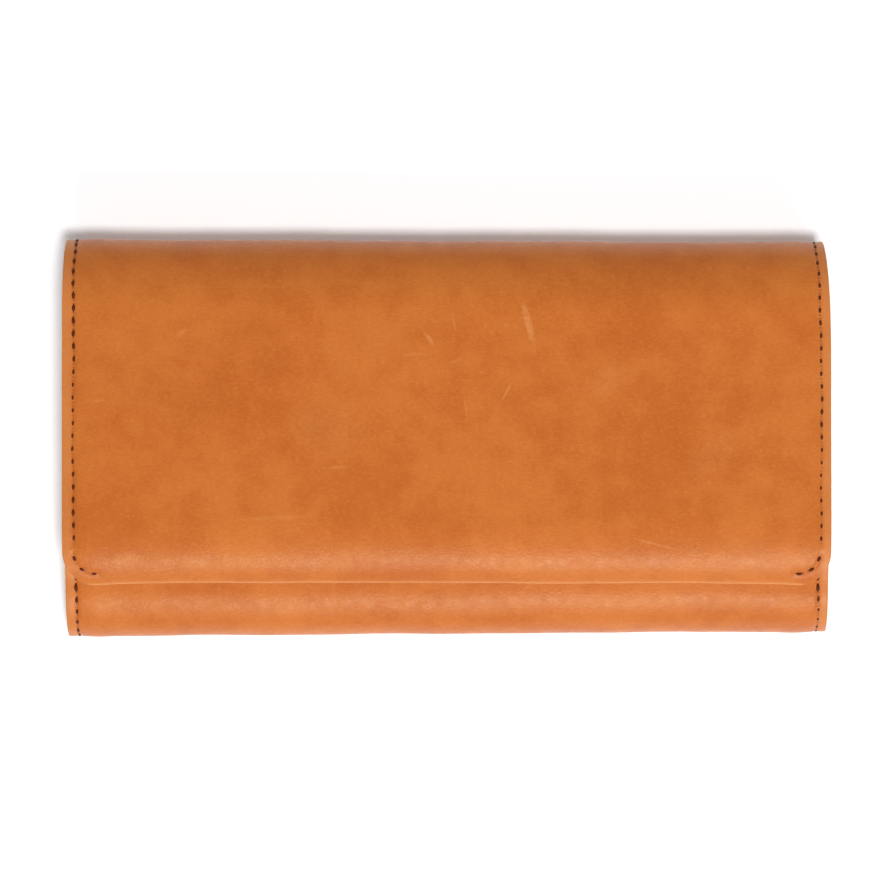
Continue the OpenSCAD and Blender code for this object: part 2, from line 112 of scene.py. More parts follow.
# %% Lamps and the room's own light
def softbox(name, stand, wide, deep, power):
    """A rectangular lamp that stands at a point and is turned to face the wallet."""
    lamp = bpy.data.lights.new(name, "AREA")
    lamp.shape, lamp.size, lamp.size_y, lamp.energy = "RECTANGLE", wide, deep, power
    box = bpy.data.objects.new(name, lamp)
    box.location = stand
    box.rotation_euler = box.location.to_track_quat("Z", "Y").to_euler()
    bpy.context.scene.collection.objects.link(box)
    return box


room_light = 0.23
overhead = softbox("overhead_lamp", (0.09, -0.24, 1.25), 0.22, 0.22, 11.3)
overhead.visible_glossy = False
softbox("front_lamp", (0.16, -0.86, 0.74), 0.8, 0.16, 4.9)
room = bpy.data.worlds.new("room")
room.use_nodes = True
room.node_tree.nodes["Background"].inputs["Color"].default_value = (1, 1, 1, 1)
room.node_tree.nodes["Background"].inputs["Strength"].default_value = room_light
bpy.context.scene.world = room

# %% [markdown]
# ## Materials as small node graphs
# A finish could be a scanned picture, but noise has no seams and no fixed sharpness. So each finish
# is built from noise that is measured in millimetres. Every piece carries its own flat coordinates
# in an attribute named lay: across the wallet, along the hide, and depth into it. A pattern that
# reads lay stays with the leather when the wallet opens. Each helper below adds one small step.


# %% Helpers for node graphs
def node(tree, kind, inputs=None, **settings):
    """Adds one node. A value in inputs is a number to set, or a socket to link."""
    made = tree.nodes.new("ShaderNode" + kind)
    for key, value in settings.items():
        setattr(made, key, value)
    for key, value in (inputs or {}).items():
        if isinstance(value, bpy.types.NodeSocket):
            tree.links.new(value, made.inputs[key])
        else:
            made.inputs[key].default_value = value
    return made


def lay_mm(tree, stretch=(1, 1, 1)):
    """The piece's flat coordinates in millimetres, stretched per axis."""
    lay = node(tree, "Attribute", attribute_name="lay").outputs["Vector"]
    per_axis = [1000 * s for s in stretch]
    return node(tree, "VectorMath", {0: lay, 1: per_axis}, operation="MULTIPLY").outputs[0]


def noise(tree, where, size, detail=3, roughness=0.5):
    """Soft noise whose blotches are about size millimetres across."""
    inputs = {"Vector": where, "Scale": 1 / size, "Detail": detail, "Roughness": roughness}
    return node(tree, "TexNoise", inputs).outputs[0]


def ramp(tree, value, low, high, to_low=0.0, to_high=1.0):
    """Smooth step: to_low below low, to_high above high."""
    inputs = {"Value": value, "From Min": low, "From Max": high, "To Min": to_low, "To Max": to_high}
    return node(tree, "MapRange", inputs, interpolation_type="SMOOTHSTEP").outputs[0]


def calc(tree, operation, a, b=0.0):
    """One sum on two values: ADD, MULTIPLY, MAXIMUM, or ABSOLUTE, which needs only the first."""
    return node(tree, "Math", {0: a, 1: b}, operation=operation).outputs[0]


print("node helpers", [helper.__name__ for helper in (node, lay_mm, noise, ramp, calc)])


# %% Colours, bump and materials
def mixed(tree, share, a, b):
    """Colour a turned towards colour b by share."""
    return node(tree, "Mix", {0: share, 6: a, 7: b}, data_type="RGBA").outputs[2]


def colour(red, green, blue):
    """A colour given as on a paint chart, 0 to 255, in the linear form that shaders use."""
    chart = np.array([red, green, blue]) / 255
    linear = np.where(chart < 0.04045, chart / 12.92, ((chart + 0.055) / 1.055) ** 2.4)
    return (*linear.tolist(), 1.0)


def bumped(tree, height, strength, distance, under=None):
    """Surface normal tilted by a height field; distance is the relief's depth in metres."""
    inputs = {"Height": height, "Strength": strength, "Distance": distance}
    if under is not None:
        inputs["Normal"] = under
    return node(tree, "Bump", inputs).outputs[0]


def new_material(name, **sockets):
    """A material with one Principled shader; plain values go on the shader's own sockets."""
    made = bpy.data.materials.new(name)
    made.use_nodes = True
    shader = made.node_tree.nodes["Principled BSDF"]
    for key, value in sockets.items():
        shader.inputs[key.replace("_", " ")].default_value = value
    return made, made.node_tree, shader


def wire(tree, shader, **links):
    """Links patterns to the shader's sockets, each named with _ for a space."""
    for key, socket in links.items():
        tree.links.new(socket, shader.inputs[key.replace("_", " ")])


print("a tan of 200, 112, 46 is", [round(c, 3) for c in colour(200, 112, 46)])

# %% [markdown]
# ## Outer leather
# Waxed pull-up leather is never one colour. Oil moves when the hide is bent or rubbed, so blotches
# of a few millimetres lie over clouds of a few centimetres, the border outside the stitches is
# paler, and every scratch leaves a light mark. Scratches could be more noise, but a real flap has
# few of them, each in its own place, so they are listed one by one. The same list holds three wide
# faint lighter patches, and two painted highlights where the leather bulges beside the stitches of
# the left corner. The marks are stretched, faded spheres: place across, place along the flap up
# from its free edge, half length and half width in millimetres, turn in degrees, and strength.
# Along the flap's free edge and on the rounded rim of the cut edges the leather is painted lighter:
# partly rubbed wear, partly painted highlight. The stitch pits are darkened as painted shade.

# %% Outer leather
FLAP_MARKS = [
    (20.2, 66.3, 7.4, 1.3, 105, 0.42), (-4.3, 62.4, 3.0, 0.8, 128, 0.30),
    (-8.0, 58.4, 4.6, 0.6, 4, 0.20), (1.8, 66.5, 3.8, 0.5, 100, 0.16),
    (2.2, 56.8, 3.4, 0.5, 21, 0.16), (14.9, 49.3, 3.8, 0.5, 62, 0.26),
    (14.7, 65.6, 0.9, 0.8, 0, 0.26), (4.8, 44.9, 3.9, 0.5, 100, 0.16),
    (8.8, 54.0, 0.8, 0.6, 0, 0.22), (-3.1, 66.8, 1.8, 0.6, -25, 0.20),
    (-86.0, 46.8, 2.0, 0.6, 8, 0.24), (-73.0, 14.5, 0.7, 0.5, 0, 0.24),
    (-65.5, 63.5, 2.4, 1.0, 40, 0.20), (51.5, 11.5, 8.5, 0.45, -15, 0.26),
    (-42.0, 18.0, 14.0, 0.9, 3, 0.12), (-27.5, 30.5, 4.2, 0.5, 2, 0.20),
    # Next, three wide faint lighter patches, then two painted highlights where the leather bulges by the left
    # corner.
    (40.0, 52.0, 9.0, 5.0, 30, 0.10), (-30.0, 40.0, 13.0, 8.0, -20, 0.10),
    (66.0, 34.0, 12.0, 6.0, 50, 0.10), (-79.0, 7.5, 5.0, 2.6, 10, 0.24),
    (-62.0, 6.5, 6.0, 2.2, -4, 0.16),
]


def outer_leather(name, flap_end):
    """Waxed leather. flap_end is how far along the hide the flap's free edge lies, in millimetres.
    Each line mixes one more pattern over the tone below it."""
    tint = (1.0, 0.92, 0.72, 1.0)
    made, tree, shader = new_material(name, Specular_IOR_Level=0.5, Specular_Tint=tint)
    where = lay_mm(tree)
    clouds = calc(tree, "MULTIPLY", noise(tree, where, 34, 3), 0.5)
    blotches = calc(tree, "MULTIPLY", noise(tree, where, 7.5, 5, 0.62), 0.5)
    tone = calc(tree, "ADD", clouds, blotches)
    base = mixed(tree, ramp(tree, tone, 0.34, 0.64), colour(186, 96, 34), colour(200, 112, 46))
    specks = noise(tree, where, 1.1, 4, 0.7)
    base = mixed(tree, ramp(tree, specks, 0.45, 0.8, 0, 0.3), base, colour(212, 134, 66))
    scuffs = noise(tree, where, 2.6, 5, 0.7)
    base = mixed(tree, ramp(tree, scuffs, 0.60, 0.80, 0, 0.28), base, colour(150, 70, 14))
    fibres = noise(tree, lay_mm(tree, (0.6, 1.5, 1)), 0.7, 4, 0.75)
    base = mixed(tree, ramp(tree, fibres, 0.30, 0.52, 0.22, 0), base, colour(156, 72, 18))
    base = mixed(tree, ramp(tree, fibres, 0.52, 0.74, 0, 0.26), base, colour(222, 142, 76))
    split = node(tree, "SeparateXYZ", {0: where})
    side = calc(tree, "ABSOLUTE", split.outputs[0])
    ragged = calc(tree, "ADD", side, calc(tree, "MULTIPLY", noise(tree, where, 4, 3), 1.6))
    base = mixed(tree, ramp(tree, ragged, 92.4, 94.6, 0, 0.42), base, colour(212, 136, 78))
    marks = None
    for across, up, long, thin, turn, strength in FLAP_MARKS:
        inputs = {"Vector": where, "Location": (across, flap_end - up, 0),
                  "Rotation": (0, 0, -math.radians(turn)), "Scale": (long, thin, 6)}
        spot = node(tree, "Mapping", inputs, vector_type="TEXTURE").outputs[0]
        ball = node(tree, "TexGradient", {"Vector": spot}, gradient_type="SPHERICAL").outputs[1]
        fade = ramp(tree, ball, 0.0, 0.75, 0, strength)
        marks = fade if marks is None else calc(tree, "MAXIMUM", marks, fade)
    broken = ramp(tree, noise(tree, where, 1.5, 4, 0.7), 0.35, 0.6, 0.35, 1)
    base = mixed(tree, calc(tree, "MULTIPLY", marks, broken), base, colour(232, 162, 100))
    # Painted highlight along the flap's free edge, where the rounded edge catches the light, and partly
    # rubbed wear.
    rubbed_edge_and_highlight = ramp(tree, split.outputs[1], flap_end - 1.3, flap_end - 0.2, 0, 0.4)
    base = mixed(tree, rubbed_edge_and_highlight, base, colour(230, 162, 98))
    # Painted highlight on the rounded rim of the cut edge, partly rubbed wear; deeper in, the cut shows the
    # darker flesh side.
    cut = node(tree, "Attribute", attribute_name="cut").outputs["Fac"]
    base = mixed(tree, ramp(tree, cut, 0.0, 0.5, 0, 0.75), base, colour(230, 164, 98))
    flesh_side = ramp(tree, split.outputs[2], 0.15, 0.5, 0, 0.85)
    inside = calc(tree, "MULTIPLY", ramp(tree, cut, 0.5, 1), flesh_side)
    base = mixed(tree, inside, base, colour(142, 80, 38))
    # Painted shade: the stitch pits are darkened as the shade inside the holes.
    pit = node(tree, "Attribute", attribute_name="pit").outputs["Fac"]
    base = mixed(tree, ramp(tree, pit, 0.1, 0.9, 0, 0.6), base, colour(104, 42, 12))
    cells = {"Vector": where, "Scale": 1 / 0.55, "Randomness": 1.0}
    skin = bumped(tree, node(tree, "TexVoronoi", cells).outputs["Distance"], 0.34, 0.10 * MM)
    skin = bumped(tree, noise(tree, where, 2.4, 6, 0.62), 0.26, 0.20 * MM, skin)
    gloss = ramp(tree, scuffs, 0.35, 0.65, 0.31, 0.43)
    wire(tree, shader, Base_Color=base, Normal=skin, Roughness=gloss)
    return made


print("marks on the flap", len(FLAP_MARKS))

# %% [markdown]
# ## The path of the hide
# Seen from the side, the hide is one line: flat stretches joined by rolls. Arcs of circles would
# join them too, but leather bends more evenly than that, so a roll is a cubic curve that leaves
# each stretch in its own direction. The whole line is sampled finely and measured, so that any
# piece can ask for the point a certain distance along it and for the inward direction.


# %% Lines seen from the side
def bezier(points, samples=160):
    """Cubic curve: the control points weighted by (1-t)^3, 3(1-t)^2 t, 3(1-t)t^2 and t^3."""
    t = np.linspace(0, 1, samples)[:, None]
    p = np.asarray(points, float)
    return (1 - t) ** 3 * p[0] + 3 * (1 - t) ** 2 * t * p[1] + 3 * (1 - t) * t ** 2 * p[2] + t ** 3 * p[3]


def straight(start, end, samples=60):
    """Points evenly along a straight line."""
    t = np.linspace(0, 1, samples)[:, None]
    return (1 - t) * np.asarray(start, float) + t * np.asarray(end, float)


def trace(*stretches):
    """Joins stretches into one measured line: (run, points, left-hand normals)."""
    line = np.vstack([stretches[0]] + [s[1:] for s in stretches[1:]])
    run = np.concatenate([[0], np.cumsum(np.linalg.norm(np.diff(line, axis=0), axis=1))])
    ahead = np.gradient(line, run, axis=0)
    ahead /= np.linalg.norm(ahead, axis=1)[:, None]
    return run, line, np.stack([-ahead[:, 1], ahead[:, 0]], -1)


def along(course, run):
    """Point and normal at a distance along a traced line, both interpolated between its samples."""
    return [np.stack([np.interp(run, course[0], table[:, k]) for k in (0, 1)], -1)
            for table in course[1:]]


quarter = trace(bezier([(1, 0), (1, 0.5523), (0.5523, 1), (0, 1)]))[0][-1]
print(f"a quarter circle drawn as one cubic is {quarter:.4f} long, the true one {math.pi / 2:.4f}")

# %% [markdown]
# ## The wallet's own line
# On the real wallet the fold at the bottom is tight, the spine is a wide roll that is squarer below
# than above, and the flap's free edge curls down over the front. Each of these is one or two
# curves, from the mouth of the front to the flap's edge. A roll is named by how far it reaches into
# the flat part, and a pull is how far the handle of a curve lies from the end that it shapes.

# %% The hide's own line
fold_z, fold_deep = 5 * MM, 6.5 * MM
front_pull, fold_pull, flap_pull = 16 * MM, 2.9 * MM, 9.45 * MM
front_roll, flap_roll = 39.25 * MM, 16.45 * MM
low_roll, high_roll = 8 * MM, 18.25 * MM
edge_drop, edge_reach, edge_slope = 5.9833 * MM, 4.65 * MM, math.radians(50)
mid_y, mid_z = spine_y, top_z / 2
front_flat_y, back_flat_y = fold_y + front_roll, spine_y - low_roll
flap_flat_y, flap_roll_y = spine_y - high_roll, flap_edge_y + flap_roll
edge_point = np.array([flap_edge_y, top_z - edge_drop])
edge_pull = edge_point + edge_reach * np.array([math.cos(edge_slope), math.sin(edge_slope)])
stretches = [
    straight((mouth_y, front_z), (front_flat_y, front_z)),
    bezier([(front_flat_y, front_z), (front_flat_y - front_pull, front_z),
            (fold_y, 0.78 * front_z), (fold_y, fold_z)]),
    bezier([(fold_y, fold_z), (fold_y, 0.4 * fold_z),
            (fold_y + fold_pull, 0), (fold_y + fold_deep, 0)], 60),
    straight((fold_y + fold_deep, 0), (back_flat_y, 0)),
    bezier([(back_flat_y, 0), (mid_y - 0.3 * low_roll, 0), (mid_y, 0.3 * mid_z), (mid_y, mid_z)]),
    bezier([(mid_y, mid_z), (mid_y, 1.55 * mid_z),
            (mid_y - 0.45 * high_roll, top_z), (flap_flat_y, top_z)]),
    straight((flap_flat_y, top_z), (flap_roll_y, top_z)),
    bezier([(flap_roll_y, top_z), (flap_edge_y + flap_pull, top_z), edge_pull, edge_point]),
]
hide = trace(*stretches)
ends = np.cumsum([trace(s)[0][-1] for s in stretches])
run_fold0, run_fold1, run_back1, run_spine = ends[1:5]
run_back, run_edge = (run_fold1 + run_back1) / 2, hide[0][-1]
print(f"hide {1000 * run_edge:.1f} mm long, spine at {1000 * run_spine:.1f}")

# %% [markdown]
# ## Hand-made outline
# A hand-cut wallet is never quite square. Each piece could be cut askew by itself, but then the
# pieces would drift apart. So the same small lean is given to every piece of leather and every
# stitch: the bottom edge drops to the left, the top edge rises to the left, and the right side
# draws in a little towards the spine.


# %% The lean of the outline
strip_share = 0.13


def leaned(points):
    """Moves points by millimetres that depend on their place, x from -1 to 1 across and y from 0 to
    1 up the wallet: along Y by a plane over the strip, by a plane over the rest, and by a bell
    curve at both ends of the strip, and across by powers of y."""
    x, y = points[..., 0] / half_w, (points[..., 1] - fold_y) / (spine_y - fold_y)
    lift = (-0.5 + 0.6 * x) * np.clip(1 - y / strip_share, 0, 1) + 0.15 * (1 - y)
    lift += (0.05 - 0.35 * x) * y
    to_side = np.clip((np.abs(x) - 0.66) / 0.3, 0, 1) ** 1.6
    lift -= 0.5 * to_side * np.exp(-((y - strip_share) / 0.07) ** 2)
    draw = -0.9 * np.clip((y - 0.72) / 0.28, 0, 1) ** 1.5 * np.clip(x, 0, 1)
    draw += (1 - y) ** 6 * (0.6 * np.clip(x, 0, 1) - 0.3 * np.clip(-x, 0, 1))
    moved = points.copy()
    moved[..., 1] += lift * MM
    moved[..., 0] += draw * MM
    return moved


top_corner = np.array([half_w, spine_y, mid_z])
print("the spine's right end moves by", np.round(1000 * (leaned(top_corner) - top_corner), 2), "mm")

# %% [markdown]
# ## From arrays to closed meshes
# A leaf of leather is two faces and a rim. Solidify and Bevel could give one surface its thickness,
# but here each face needs its own relief, so both are worked out. The faces are grids of points.
# The rim is a few loops round the grids' border that roll over from one face to the other, so that
# the cut edge is rounded as on real leather. Face numbers are worked out as arrays as well.


# %% One closed mesh
def signed_volume(points, faces):
    """Sum over every triangle of a . (b x c) / 6: it is positive when the faces point outwards."""
    volume = 0.0
    for table in faces:
        for k in range(1, table.shape[1] - 1):
            a, b, c = points[table[:, 0]], points[table[:, k]], points[table[:, k + 1]]
            volume += np.einsum("ij,ij->", a, np.cross(b, c)) / 6
    return volume


def build(name, points, faces, fields=None, sharp=50):
    """One closed mesh object from points and faces, turned to point outwards. Fields are values
    kept for each point."""
    points = np.asarray(points, float).reshape(-1, 3)
    volume = signed_volume(points, faces)
    polygons = [face for table in faces for face in (table[:, ::-1] if volume < 0 else table).tolist()]
    mesh = bpy.data.meshes.new(name)
    mesh.from_pydata(points.tolist(), [], polygons)
    for key, values in (fields or {}).items():
        values = np.asarray(values, np.float32)
        kind, field = ("FLOAT_VECTOR", "vector") if values.ndim > 1 else ("FLOAT", "value")
        mesh.attributes.new(key, kind, "POINT").data.foreach_set(field, values.ravel())
    mesh.shade_smooth()
    mesh.set_sharp_from_angle(angle=math.radians(sharp))
    piece = bpy.data.objects.new(name, mesh)
    bpy.context.scene.collection.objects.link(piece)
    print(f"{name}: {len(points)} points, {len(polygons)} faces, {abs(volume) * 1e9:.0f} mm3")
    return piece


def quads(table, wrap=False):
    """Quads between neighbouring entries of a table of point numbers."""
    if wrap:
        table = np.concatenate([table, table[:, :1]], 1)
    return np.stack([table[:-1, :-1], table[1:, :-1], table[1:, 1:], table[:-1, 1:]], -1).reshape(-1, 4)


print("a grid of 3 x 4 points has", len(quads(np.arange(12).reshape(3, 4))), "quads")


# %% A leaf with a rounded rim
def leaf(name, shape, thickness, edge_r=0.3 * MM, sharp=50):
    """Closed leaf. shape(inset, depth) gives a grid of points and of lay values, drawn in from the
    outline by inset and lowered by depth. The rim follows a quarter circle from each face:
    inset = r (1 - sin a), depth = r (1 - cos a)."""
    turn = np.linspace(0, np.pi / 2, 4)
    insets = np.concatenate([edge_r * (1 - np.sin(turn)), edge_r * (1 - np.sin(turn[::-1]))])
    depths = np.concatenate([edge_r * (1 - np.cos(turn)), thickness - edge_r * (1 - np.cos(turn[::-1]))])
    grids = [shape(i, d) for i, d in zip(insets, depths)]
    rows, cols = grids[0][0].shape[:2]
    numbers = np.arange(rows * cols).reshape(rows, cols)
    border = np.concatenate([numbers[0], numbers[1:, -1], numbers[-1, -2::-1], numbers[-2:0:-1, 0]])
    count, between = len(border), len(grids) - 2
    last = rows * cols + count * between
    rim = rows * cols + np.arange(count * between).reshape(between, count)
    loops = np.vstack([border, rim, last + border])
    points, lays = [], []
    for k, (at, lay) in enumerate(grids):
        kept = slice(None) if k in (0, between + 1) else border
        points.append(at.reshape(-1, 3)[kept])
        lays.append(lay.reshape(-1, 3)[kept])
    cut = np.zeros(last + rows * cols)
    cut[rows * cols + count:last - count] = 1
    faces = [quads(numbers), quads(loops, wrap=True)[:, ::-1], quads(numbers + last)[:, ::-1]]
    return build(name, np.vstack(points), faces, {"lay": np.vstack(lays), "cut": cut}, sharp)


print("mesh helpers", [maker.__name__ for maker in (signed_volume, build, quads, leaf)])


# %% Finish and body of a piece
def place(piece, finish, slot, *nodes, body=None, bend=None):
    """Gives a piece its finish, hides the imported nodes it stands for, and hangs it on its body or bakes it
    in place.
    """
    piece.data.materials.append(finish)
    if nodes:
        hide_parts(*nodes)
    if body:
        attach(piece, body)
    else:
        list(bend[:2])
        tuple(bend[2])
        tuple(bend[3])
        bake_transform(piece)
    return piece


print("packed nodes to dress", len(frame["nodes"]))

# %% [markdown]
# ## Where the stitches go
# The saddle stitches run down both sides of the hide, and three more turn each rounded corner of
# the flap. Thread could just be laid on a smooth hide, but real thread pulls the leather down: it
# leaves a shallow trough along the row, a pit where it enters, and a swelling next to it. So the
# places of the stitches are worked out before the leather. Hands aren't exact, so two slow sine
# waves make the rows wander a tenth of a millimetre or so.


# %% Stitch rows
def flap_run(y):
    """Distance along the hide at which the flap crosses y; the flap runs towards lower y."""
    on_flap = hide[0] > run_spine + 6 * MM
    return np.interp(-y, -hide[1][on_flap, 0], hide[0][on_flap])


def side_row(start, end):
    """Stitches along both sides between two distances: (across, along, turn)."""
    count = int((end - start - stitch_l) / stitch_pitch)
    run = start + stitch_l / 2 + stitch_pitch * np.arange(count + 1)
    wander = 0.12 * MM * np.sin(run / (7 * MM)) + 0.08 * MM * np.sin(run / (2.3 * MM))
    left = np.stack([-(half_w - stitch_inset) + wander, run, 0.05 * np.sin(run * 900)], -1)
    right = np.stack([half_w - stitch_inset + 0.35 * MM + wander[::-1], run, 0.05 * np.cos(run * 700)], -1)
    return np.vstack([left, right])


def corner_stitches():
    """Three stitches on a circle inside each rounded corner of the flap."""
    turn = np.radians([17, 52, 87])
    r = flap_corner_r - stitch_inset
    side = np.array([-1, 1])[:, None]
    across = side * (half_w - flap_corner_r + r * np.cos(turn))
    run = np.broadcast_to(flap_run(flap_edge_y + flap_corner_r - r * np.sin(turn)), across.shape)
    return np.stack([across, run, -side * turn], -1).reshape(-1, 3)


front_stitches = side_row(0.4 * MM, run_back - 0.5 * MM)
back_stitches = side_row(run_back + 0.5 * MM, run_spine - 0.3 * MM)
flap_sides = side_row(run_spine + 0.5 * MM, flap_run(flap_edge_y + flap_corner_r))
flap_stitches = np.vstack([flap_sides, corner_stitches()])
all_stitches = np.vstack([front_stitches, back_stitches, flap_stitches])
print("stitches", len(all_stitches))


# %% Distance to the stitches
def to_stitches(across, run):
    """Distance from each point to the nearest stitch, and to the nearest stitch end: a stitch is a
    segment, so the offset along it is clipped to half its length first."""
    near = np.full(across.shape, 1.0), np.full(across.shape, 1.0)
    edge = np.abs(across) > half_w - 12 * MM
    x, s = across[edge][:, None], run[edge][:, None]
    line, hole = near[0][edge], near[1][edge]
    for start in range(0, len(all_stitches), 40):
        cx, cs, turn = all_stitches[start:start + 40].T
        ahead = (x - cx) * np.sin(turn) + (s - cs) * np.cos(turn)
        aside = (x - cx) * np.cos(turn) - (s - cs) * np.sin(turn)
        over = np.abs(ahead) - stitch_l / 2
        line = np.minimum(line, np.hypot(aside, np.maximum(over, 0)).min(1))
        hole = np.minimum(hole, np.hypot(aside, over).min(1))
    near[0][edge], near[1][edge] = line, hole
    return near


tried = to_stitches(all_stitches[:1, 0] + 1 * MM, all_stitches[:1, 1])
print(f"1 mm beside a stitch: {1000 * tried[0][0]:.2f} mm to it, {1000 * tried[1][0]:.2f} to its end")

# %% [markdown]
# ## The outer hide
# The real hide is one sheet. It could be one mesh as well, but a mesh can follow only one bend at a
# time. Here it is cut into three pieces where nothing shows: under the back and half way up the
# spine. The grid is fine near the sides, where the stitches pull the leather about, and coarse in
# the middle. Relief wider than a third of a millimetre is in the mesh, and finer grain is bump.

# %% Grid of the hide
side_steps = np.concatenate([np.arange(0, 7, 0.28), np.arange(7, 12, 0.6)]) * MM


def across_grid(half, side, middle):
    """Columns for each row's half width: fixed steps in from both sides, and an even middle."""
    step = side[-1] - side[-2]
    inner = half[:, None] - side[-1] - step
    edge = half[:, None] - side[None]
    return np.hstack([-edge, inner * np.linspace(-1, 1, middle)[None], edge[:, ::-1]])


print("points across the hide", across_grid(np.array([half_w]), side_steps, 76).shape[1])

# %% Relief of the hide
waves = np.random.default_rng(7)
wave_table = [(waves.uniform(20, 90) * MM, waves.uniform(0, 6.28), waves.uniform(0, 6.28))
              for _ in range(9)]
on_front = hide[0] < run_fold0
run_pressed = np.interp(-(flap_edge_y + 1 * MM), -hide[1][on_front, 0], hide[0][on_front])


def hide_relief(across, run):
    """Outward relief of the hide: long soft waves, a trough along each stitch row, a pit at each
    stitch end, a swelling between the row and the middle, and the hollow that the flap's edge has
    pressed into the front, each as a bell curve of its height in millimetres."""
    waved = sum(np.sin(across * math.cos(t) / l * 6.28 + run * math.sin(t) / l * 6.28 + p)
                for l, t, p in wave_table)
    line, hole = to_stitches(across, run)
    flank = 1 - np.exp(-(line / (2.2 * MM)) ** 2)
    swell = np.exp(-((half_w - np.abs(across) - 7.5 * MM) / (3.6 * MM)) ** 2) * flank
    pit = np.exp(-(hole / (0.30 * MM)) ** 2)
    pressed = np.exp(-((run - run_pressed) / (3.6 * MM)) ** 2)
    relief = MM * (0.035 * waved + 0.16 * swell - 0.48 * pressed - 0.30 * pit)
    return relief - 0.22 * MM * np.exp(-(line / (0.7 * MM)) ** 2), pit


print(f"the flap's edge presses on the front {1000 * run_pressed:.1f} mm from its mouth")


# %% A stretch of the hide
def hide_shape(run0, run1, rounded_end=False, real_start=False, real_end=False, t0=0.0,
               narrower=0.0, relief=1, fine=0.45 * MM, side=side_steps, middle=76, course=hide,
               half=half_w):
    """shape(inset, depth) for a stretch of a traced sheet between two distances: its point is the
    line's point plus depth along the normal, and x comes from the grid. t0 is how deep its outer
    face lies. At a rounded end, the half width loses R (1 - sqrt(1 - u^2)), where u grows from 0
    to 1 over the last R of its way down in y. A real start or end has a cut edge there."""
    corner_run = run1 - flap_run(flap_edge_y + flap_corner_r) if rounded_end else 0
    steps = np.linspace(0, 1, max(2, int((run1 - run0 - corner_run) / fine)))
    turn = np.linspace(0, np.pi / 2, 24)[1:]

    def shape(inset, depth):
        lo = run0 + (inset if real_start else 0)
        hi = run1 - (inset + narrower if rounded_end else inset if real_end else 0)
        run = lo + (hi - corner_run - lo) * steps
        wide = half - narrower - inset + 0 * run
        if rounded_end:
            tail = hi - corner_run + corner_run * np.sin(turn)
            run = np.concatenate([run, tail])
            y = along(course, run)[0][:, 0]
            u = np.clip(1 - (y - y[-1]) / (flap_edge_y + flap_corner_r - y[-1]), 0, 1)
            wide = half - narrower - inset - (flap_corner_r - inset - narrower) * (1 - np.sqrt(1 - u ** 2))
        across = across_grid(wide, side, middle)
        run = np.broadcast_to(run[:, None], across.shape)
        point, normal = along(course, run)
        up, pit = hide_relief(across, run) if relief else (np.zeros(across.shape), None)
        under = normal[..., 1] > 0.7
        up = np.where(under, np.minimum(up, 0), up) * relief * max(0, 1 - depth / shell_t)
        place_yz = point + (t0 + depth - up)[..., None] * normal
        points = np.concatenate([across[..., None], place_yz], -1)
        return leaned(points), np.stack([across, run, np.full(across.shape, t0 + depth)], -1)

    return shape


sample = hide_shape(0, run_back)(0, 0)[0]
print("grid of the front", sample.shape[:2])


# %% The three pieces of the hide
leather = outer_leather("waxed_leather", 1000 * run_edge)
bend_line = {(j["parent"], j["child"]): j for j in frame["joints"]}
bend_reach, seam_gap = 16 * MM, 1.5 * MM


def bend_about(parent, child, flat_side):
    """The bend between two bodies, as parent, child and two points on the hide. It spans the whole
    roll: from bend_reach outside the hinge, measured along the hide, to just short of the middle of
    the spine. flat_side is -1 where the flat part comes before the hinge."""
    pivot = bend_line[parent, child]["pos_m"]
    gap = np.linalg.norm(hide[1] - np.array([pivot[1], pivot[2]]), axis=1)
    outer = hide[0][gap.argmin()] + flat_side * bend_reach
    inner = run_spine + flat_side * seam_gap
    first, last = along(hide, np.array(sorted([outer, inner])))[0]
    return parent, child, (0, *first), (0, *last)


fold_bend = ("back", "front", (0, fold_y, 1 * MM), (0, fold_y, 9 * MM))
spine_bend = bend_about("back", "spine", -1)
flap_bend = bend_about("spine", "flap", 1)
print("bends", fold_bend, spine_bend, flap_bend)

# %% Cut and finish the hide
front_hide = leaf("front_hide", hide_shape(0, run_back, real_start=True), shell_t)
back_hide = leaf("back_hide", hide_shape(run_back, run_spine), shell_t)
flap_hide = leaf("flap_hide", hide_shape(run_spine, run_edge, rounded_end=True), shell_t)


def mark_pits(piece):
    """Stores how deep in a stitch pit each point lies, for the shade painted into the holes."""
    lay = np.zeros(3 * len(piece.data.vertices), np.float32)
    piece.data.attributes["lay"].data.foreach_get("vector", lay)
    lay = lay.reshape(-1, 3)
    pit = hide_relief(lay[:, 0], lay[:, 1])[1] * (lay[:, 2] < 0.2 * MM)
    piece.data.attributes.new("pit", "FLOAT", "POINT").data.foreach_set("value", pit.astype(np.float32))


for piece in (front_hide, back_hide, flap_hide):
    mark_pits(piece)
place(front_hide, leather, "outer_leather", "front_panel", "bottom_fold", bend=fold_bend)
place(back_hide, leather, "outer_leather", "back_panel", bend=spine_bend)
place(flap_hide, leather, "outer_leather", "spine_panel", "flap_panel", bend=flap_bend)

# %% [markdown]
# ## Linings and card pockets
# The linings are thinner leather with the flesh side out, glued a little short of the cut edge so
# that they don't show from outside. A second material on the hide's inner face would look much the
# same when shut, but the step at the edge would be missing. So the linings are leaves of their own,
# on the same line as the hide, at its inner face.


